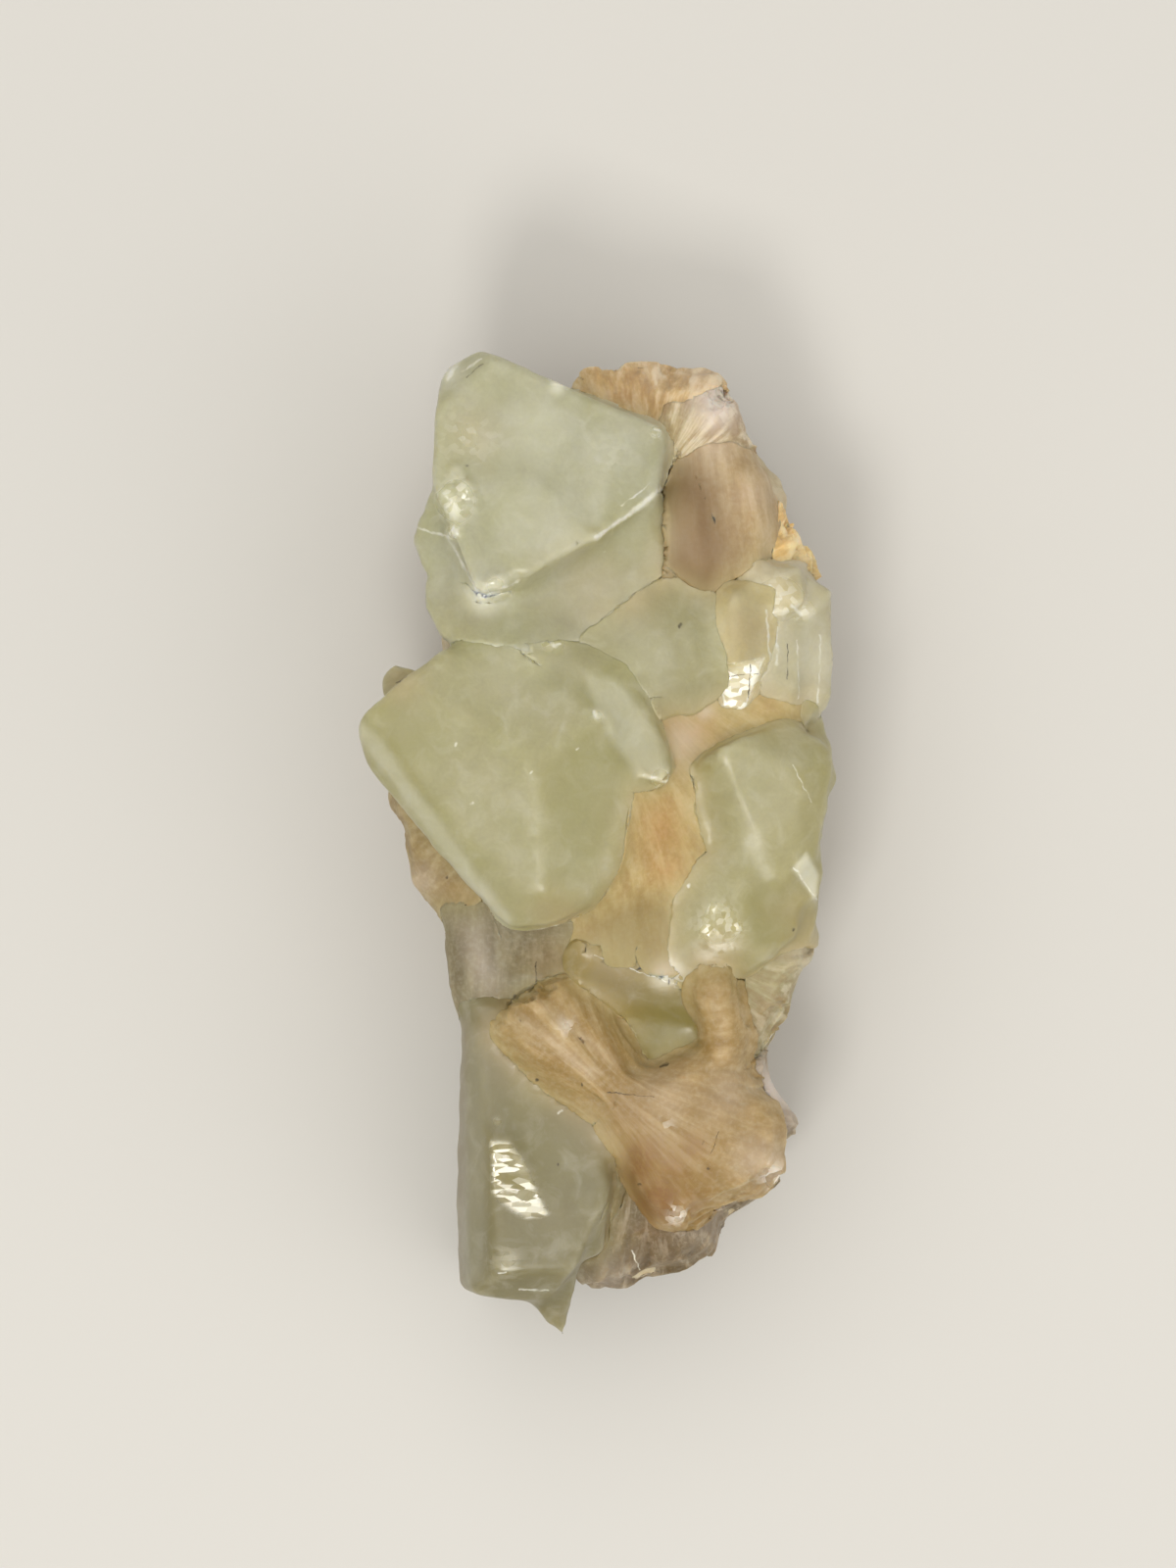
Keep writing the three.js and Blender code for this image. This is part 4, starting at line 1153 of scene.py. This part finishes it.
closed = skins["stilbite_upper_sheaf"]
spread_ribs(closed, ((7.0, 80.0), -90, 10), width=2.4, depth=0.03, seed=430, forms=closed_forms)
paint_patches(
    closed,
    stain=[(0.6, 8.6, 25.8, 2.4)],
    milk=[(0.25, 12, 41, 2.5), (0.2, 15.5, 36, 2)],
    deep=[(0.75, DARK_END, 4.0)],
)
closed_stone = stilbite("stilbite_tan_sheaf", "#b69f75", "#a88e63", stain="#9c6c3a", dusk="#795e3d")
hand_over(closed, closed_stone)

rim = skins["stilbite_rim_blades"]
spread_ribs(rim, ((8.0, 24.0), 25, 3), width=1.0, depth=0.3, seed=440, ragged=1.6)
paint_patches(rim)
hand_over(rim, stilbite("stilbite_orange", "#f8dea4", "#e5be78", streaks=0.3))

# %% [markdown]
# The sheaves in the middle grew in tight corners, so they have room for fine, shallow ribs only. The
# upright blades at the left are crystals by shape and stilbite by substance: they get the relief of
# the first, and blades for the streaks of the second.

# %% Middle sheaves
centre = skins["stilbite_centre"]
spread_ribs(centre, ((-2.0, 22.0), -60, 6), width=1.8, depth=0.06, seed=450)
paint_patches(
    centre,
    stain=[(0.3, 9, 11.5, 3), (0.3, 6.5, 2, 3), (0.3, 7.2, -2.4, 2.0), (0.2, 17, 15.5, 2)],
    milk=[(0.6, 10.7, 13.8, 1.1), (0.45, 8.3, 10.5, 2.5), (0.7, 6.6, -13.2, 1.4)],
    deep=[(0.6, [(-1.5, -13.5), (9.0, -13.5), (8.5, -6.0), (4.0, -5.0), (-1.0, -7.0)], 3.0)],
)
centre_stone = stilbite("stilbite_peach", "#b9a36a", "#ac9056", stain="#c08848", dusk="#80703f")
hand_over(centre, centre_stone)

lobe = skins["stilbite_left_lobe"]
spread_ribs(lobe, ((-8.0, 6.0), -135, 5), width=1.6, depth=0.08, seed=460)
paint_patches(lobe, stain=[(0.2, -14, -5.5, 2)], milk=[(0.3, -18, -4, 2)])
lobe_stone = stilbite(
    "stilbite_olive",
    "#998350",
    "#846d3d",
    dark=[(-15.5, -3.3, -15.4, -3.2, 0.16), (-13.9, -6.5, -13.4, -6.2, 0.14)],
)
hand_over(lobe, lobe_stone)

plates = skins["stilbite_right_plates"]
spread_ribs(plates, ((12.0, -12.0), -20, 3), width=1.5, depth=0.2, seed=470, ragged=1.3)
paint_patches(plates, stain=[(0.2, 16, -18, 2)], milk=[(0.3, 21, -11, 2)])
hand_over(plates, stilbite("stilbite_cream", "#a49c76", "#958760", streaks=0.25))

uprights = skins["stilbite_upright_blades"]
grow_faces(uprights, seed=47, groove=0.12)
uprights.paint("blades", along_blades(uprights, (-8.0, 60.0), -90, 10))
paint_patches(
    uprights,
    stain=[(0.2, -3.5, -12, 3)],
    milk=[(0.25, [(-14.4, -8.0), (-11.4, -17.0), (-9.4, -16.4), (-11.6, -7.6)], 2.2)],
    deep=[(0.4, [(-6.2, -15.5), (-1.6, -15.5), (-1.6, -12.0), (-6.2, -11.8)], 0.8)],
)
uprights_stone = stilbite(
    "stilbite_mauve",
    "#867c5e",
    "#756a4d",
    dusk="#806c50",
    streaks=0.05,
    dark=[
        (-6.3, -11.8, -6.3, -13.9, 0.1),
        (-1.9, -12.3, -2.2, -16.7, 0.13),
        (-8.5, -15.4, -8.4, -15.3, 0.2),
    ],
)
hand_over(uprights, uprights_stone)

# %% [markdown]
# The bow-tie is the showpiece. Its rods meet in a waist and spread again into a broad fan, whose end
# is stained by iron and glassy where it broke. The ribs fade in the fan, where grains cover them. The
# skirt under it lies in shade, and only its plates at the rim catch the light.

# %% Bow-tie and skirt
tie = skins["stilbite_bow_tie"]
rods = 0.2 * (1 - 0.8 * spot(tie.points, 8, -31, 9))  # the ribs are lost in the grains of the fan
spread_ribs(tie, ((1.0, -24.8), -42, 5), width=1.3, depth=rods, seed=480, lump=0.4, ragged=1.3)
paint_patches(
    tie,
    stain=[
        (0.25, 2.5, -29.0, 4.0),
        (0.75, 4.0, -32.5, 3.0),
        (0.8, 6.0, -36.0, 2.8),
        (0.5, 7.5, -32.5, 2.2),
        (0.5, 9.5, -36.5, 2.0),
        (0.45, 9.6, -30.4, 1.6),
        (0.25, 11, -33.6, 1.2),
    ],
    milk=[
        (0.15, [(-8.5, -16.5), (-7.5, -18.0), (-0.5, -24.0), (0.5, -23.0)], 1.0),
        (0.15, [(-7.0, -14.8), (-6.0, -16.0), (2.0, -22.8), (2.2, -21.8)], 1.0),
        (0.3, 16.5, -32, 3.0),
        (0.18, 7, -24.5, 3.5),
        (0.25, 13, -25.5, 3.0),
    ],
    glint=[(0.9, 8, -37.6, 0.9), (0.8, 17.8, -33.6, 1.2), (0.4, -3.2, -18.4, 1.0), (0.3, 7, -28.5, 0.8)],
)
tie_stone = stilbite(
    "stilbite_pale_peach",
    "#a28854",
    "#93773d",
    stain="#82592a",
    streaks=0.08,
    dark=[
        (-8.5, -15.3, -8.4, -15.2, 0.2),
        (-6.2, -24.0, -6.1, -24.0, 0.2),
        (-1.6, -24.4, -1.6, -24.3, 0.18),
        (2.2, -25.3, 2.4, -25.3, 0.15),
        (1.0, -25.2, 5.8, -25.6, 0.07),
        (6.4, -22.6, 7.2, -22.3, 0.14),
        (4.2, -34.7, 4.4, -34.6, 0.22),
        (11.2, -32.8, 11.3, -32.9, 0.18),
        (10.6, -30.5, 10.8, -30.2, 0.13),
        (11.6, -31.4, 12.4, -29.2, 0.05),
    ],
)
hand_over(tie, tie_stone)

skirt = skins["stilbite_skirt"]
spread_ribs(skirt, ((5.0, -27.0), -80, 4), width=1.6, depth=0.22, seed=490, ragged=1.5)
paint_patches(
    skirt,
    stain=[(0.15, 6, -40, 3)],
    # the last milk patch is partly the plates' pale colour and partly painted light where the skirt lies
    # low in shade
    milk=[(0.2, 1, -44, 3), (0.2, 12, -39.5, 3.5), (0.9, 18.3, -25.5, 3.2)],
    deep=[(0.5, 5, -42.5, 3)],
)
skirt_stone = stilbite(
    "stilbite_mauve_skirt",
    "#75623c",
    "#625029",
    dusk="#574426",
    streaks=0.25,
    bright=[(3.5, -41.5, 4.3, -43.6, 0.1)],
)
hand_over(skirt, skirt_stone)

# %% [markdown]
# ## The broken rock
#
# Under the crystals lies what they grew on: a mass of fine zeolite and weathered basalt. Where it
# broke from the cavity wall it is rough at every scale, from lumps of half a centimetre to grains
# under a millimetre, and it is dull because every grain points another way.


# %% Rock
def rock(name, pale, dark, rust):
    """Dull, grainy rock between two tints, with rust between the grains."""
    material, tree, place, kept = new_material(name, ("relief",))
    grains = add(tree, "TexVoronoi", {"Vector": place, "Scale": 1 / 1.1}, output="Distance")
    cloud = add(tree, "TexNoise", {"Vector": place, "Scale": 1 / 6, "Detail": 6.0, "Roughness": 0.65})
    fine = add(tree, "TexNoise", {"Vector": place, "Scale": 1 / 0.6, "Detail": 5.0, "Roughness": 0.7})
    layers = [
        (cloud, 0.35, 0.65, 1.0, pale),
        (grains, 0.2, 0.7, 0.35, rust),
        # what stands out is painted paler: a painted highlight on the raised grains
        (kept["relief"], 0.0, 1.0, 0.5, "#d9cfba"),
    ]
    surface = {
        "Base Color": layered(tree, linear(dark), layers),
        "Roughness": 0.8,
        "IOR": 1.5,
        "Subsurface Weight": 0.4,
        "Subsurface Radius": (1.0, 0.8, 0.6),
        "Subsurface Scale": 0.8 * MM,
        "Normal": add(tree, "Bump", {"Height": fine, "Strength": 0.5, "Distance": 0.3 * MM}),
    }
    add(tree, "OutputMaterial", {"Surface": add(tree, "BsdfPrincipled", surface)})
    return material


base = skins["matrix"]
off_floor = np.clip((base.points[:, 2] - 0.4) / 2.5, 0, 1)
height = 0.9 * lumps(base.points, 5.5, 201) + 0.4 * lumps(base.points, 2.2, 202)
height += 0.5 * np.abs(lumps(base.points, 3.2, 203)) + 0.15 * lumps(base.points, 0.9, 204) - 0.5
raise_skin(base, off_floor * height, full=0.25)
hand_over(base, rock("zeolite_rock", "#c6ba9c", "#a2957a", "#a68b62"))

# %% [markdown]
# ## Light and camera
#
# A specimen like this is best in even light: one broad soft light from above and behind, a weaker one
# from the right, and a small bright one that only flat broken faces catch. The camera stands straight
# above the cluster with a long lens, and the floor is plain and pale.

# %% Floor, lights and camera
bpy.ops.mesh.primitive_plane_add(size=3.0, location=(0, 0, 0))
floor = bpy.context.object
floor.name = "floor"
floor_material = bpy.data.materials.new("plain_floor")
floor_material.use_nodes = True
floor_surface = floor_material.node_tree.nodes["Principled BSDF"]
floor_surface.inputs["Base Color"].default_value = linear("#c2c0bb")
floor_surface.inputs["Roughness"].default_value = 0.9
floor.data.materials.append(floor_material)


def lamp(name, at, size, power, warmth):
    """A square soft light, in metres and watts, that shines at the middle of the cluster."""
    light = bpy.data.lights.new(name, "AREA")
    light.shape = "SQUARE"
    light.size = size
    light.energy = power
    light.color = warmth
    holder = bpy.data.objects.new(name, light)
    bpy.context.scene.collection.objects.link(holder)
    holder.location = at
    holder.rotation_euler = (Vector((0, 0, 0.02)) - Vector(at)).to_track_quat("-Z", "Y").to_euler()
    return holder


lamp("key", (-0.16, 0.22, 0.95), 1.1, 4.6, (1.0, 0.97, 0.92))
lamp("fill", (0.5, -0.3, 0.6), 0.7, 1.6, (1.0, 0.97, 0.93))
lamp("catch", (-0.12, -0.32, 0.7), 0.18, 2.0, (1.0, 0.98, 0.94))

world = bpy.data.worlds.new("studio")
world.use_nodes = True
world.node_tree.nodes["Background"].inputs["Color"].default_value = (1.0, 0.98, 0.95, 1.0)
world.node_tree.nodes["Background"].inputs["Strength"].default_value = 0.68
bpy.context.scene.world = world

FIELD = 0.160  # metres of plan that the tall side of the picture shows
STAND_OFF = 1.6  # metres from the crystals to the camera
camera_data = bpy.data.cameras.new("above")
camera_data.sensor_fit = "VERTICAL"
camera_data.sensor_height = 36.0
camera_data.lens = 36.0 * STAND_OFF / FIELD
camera = bpy.data.objects.new("above", camera_data)
bpy.context.scene.collection.objects.link(camera)
middle_of_plan = Vector((-0.96, 6.28, 0)) * MM
crystal_level = 0.03
camera.location = middle_of_plan + Vector((0, 0, crystal_level + STAND_OFF))
bpy.context.scene.camera = camera
bpy.context.scene.view_settings.view_transform = "Standard"
print("camera height, m:", round(camera.location.z, 3), "lens, mm:", round(camera_data.lens))
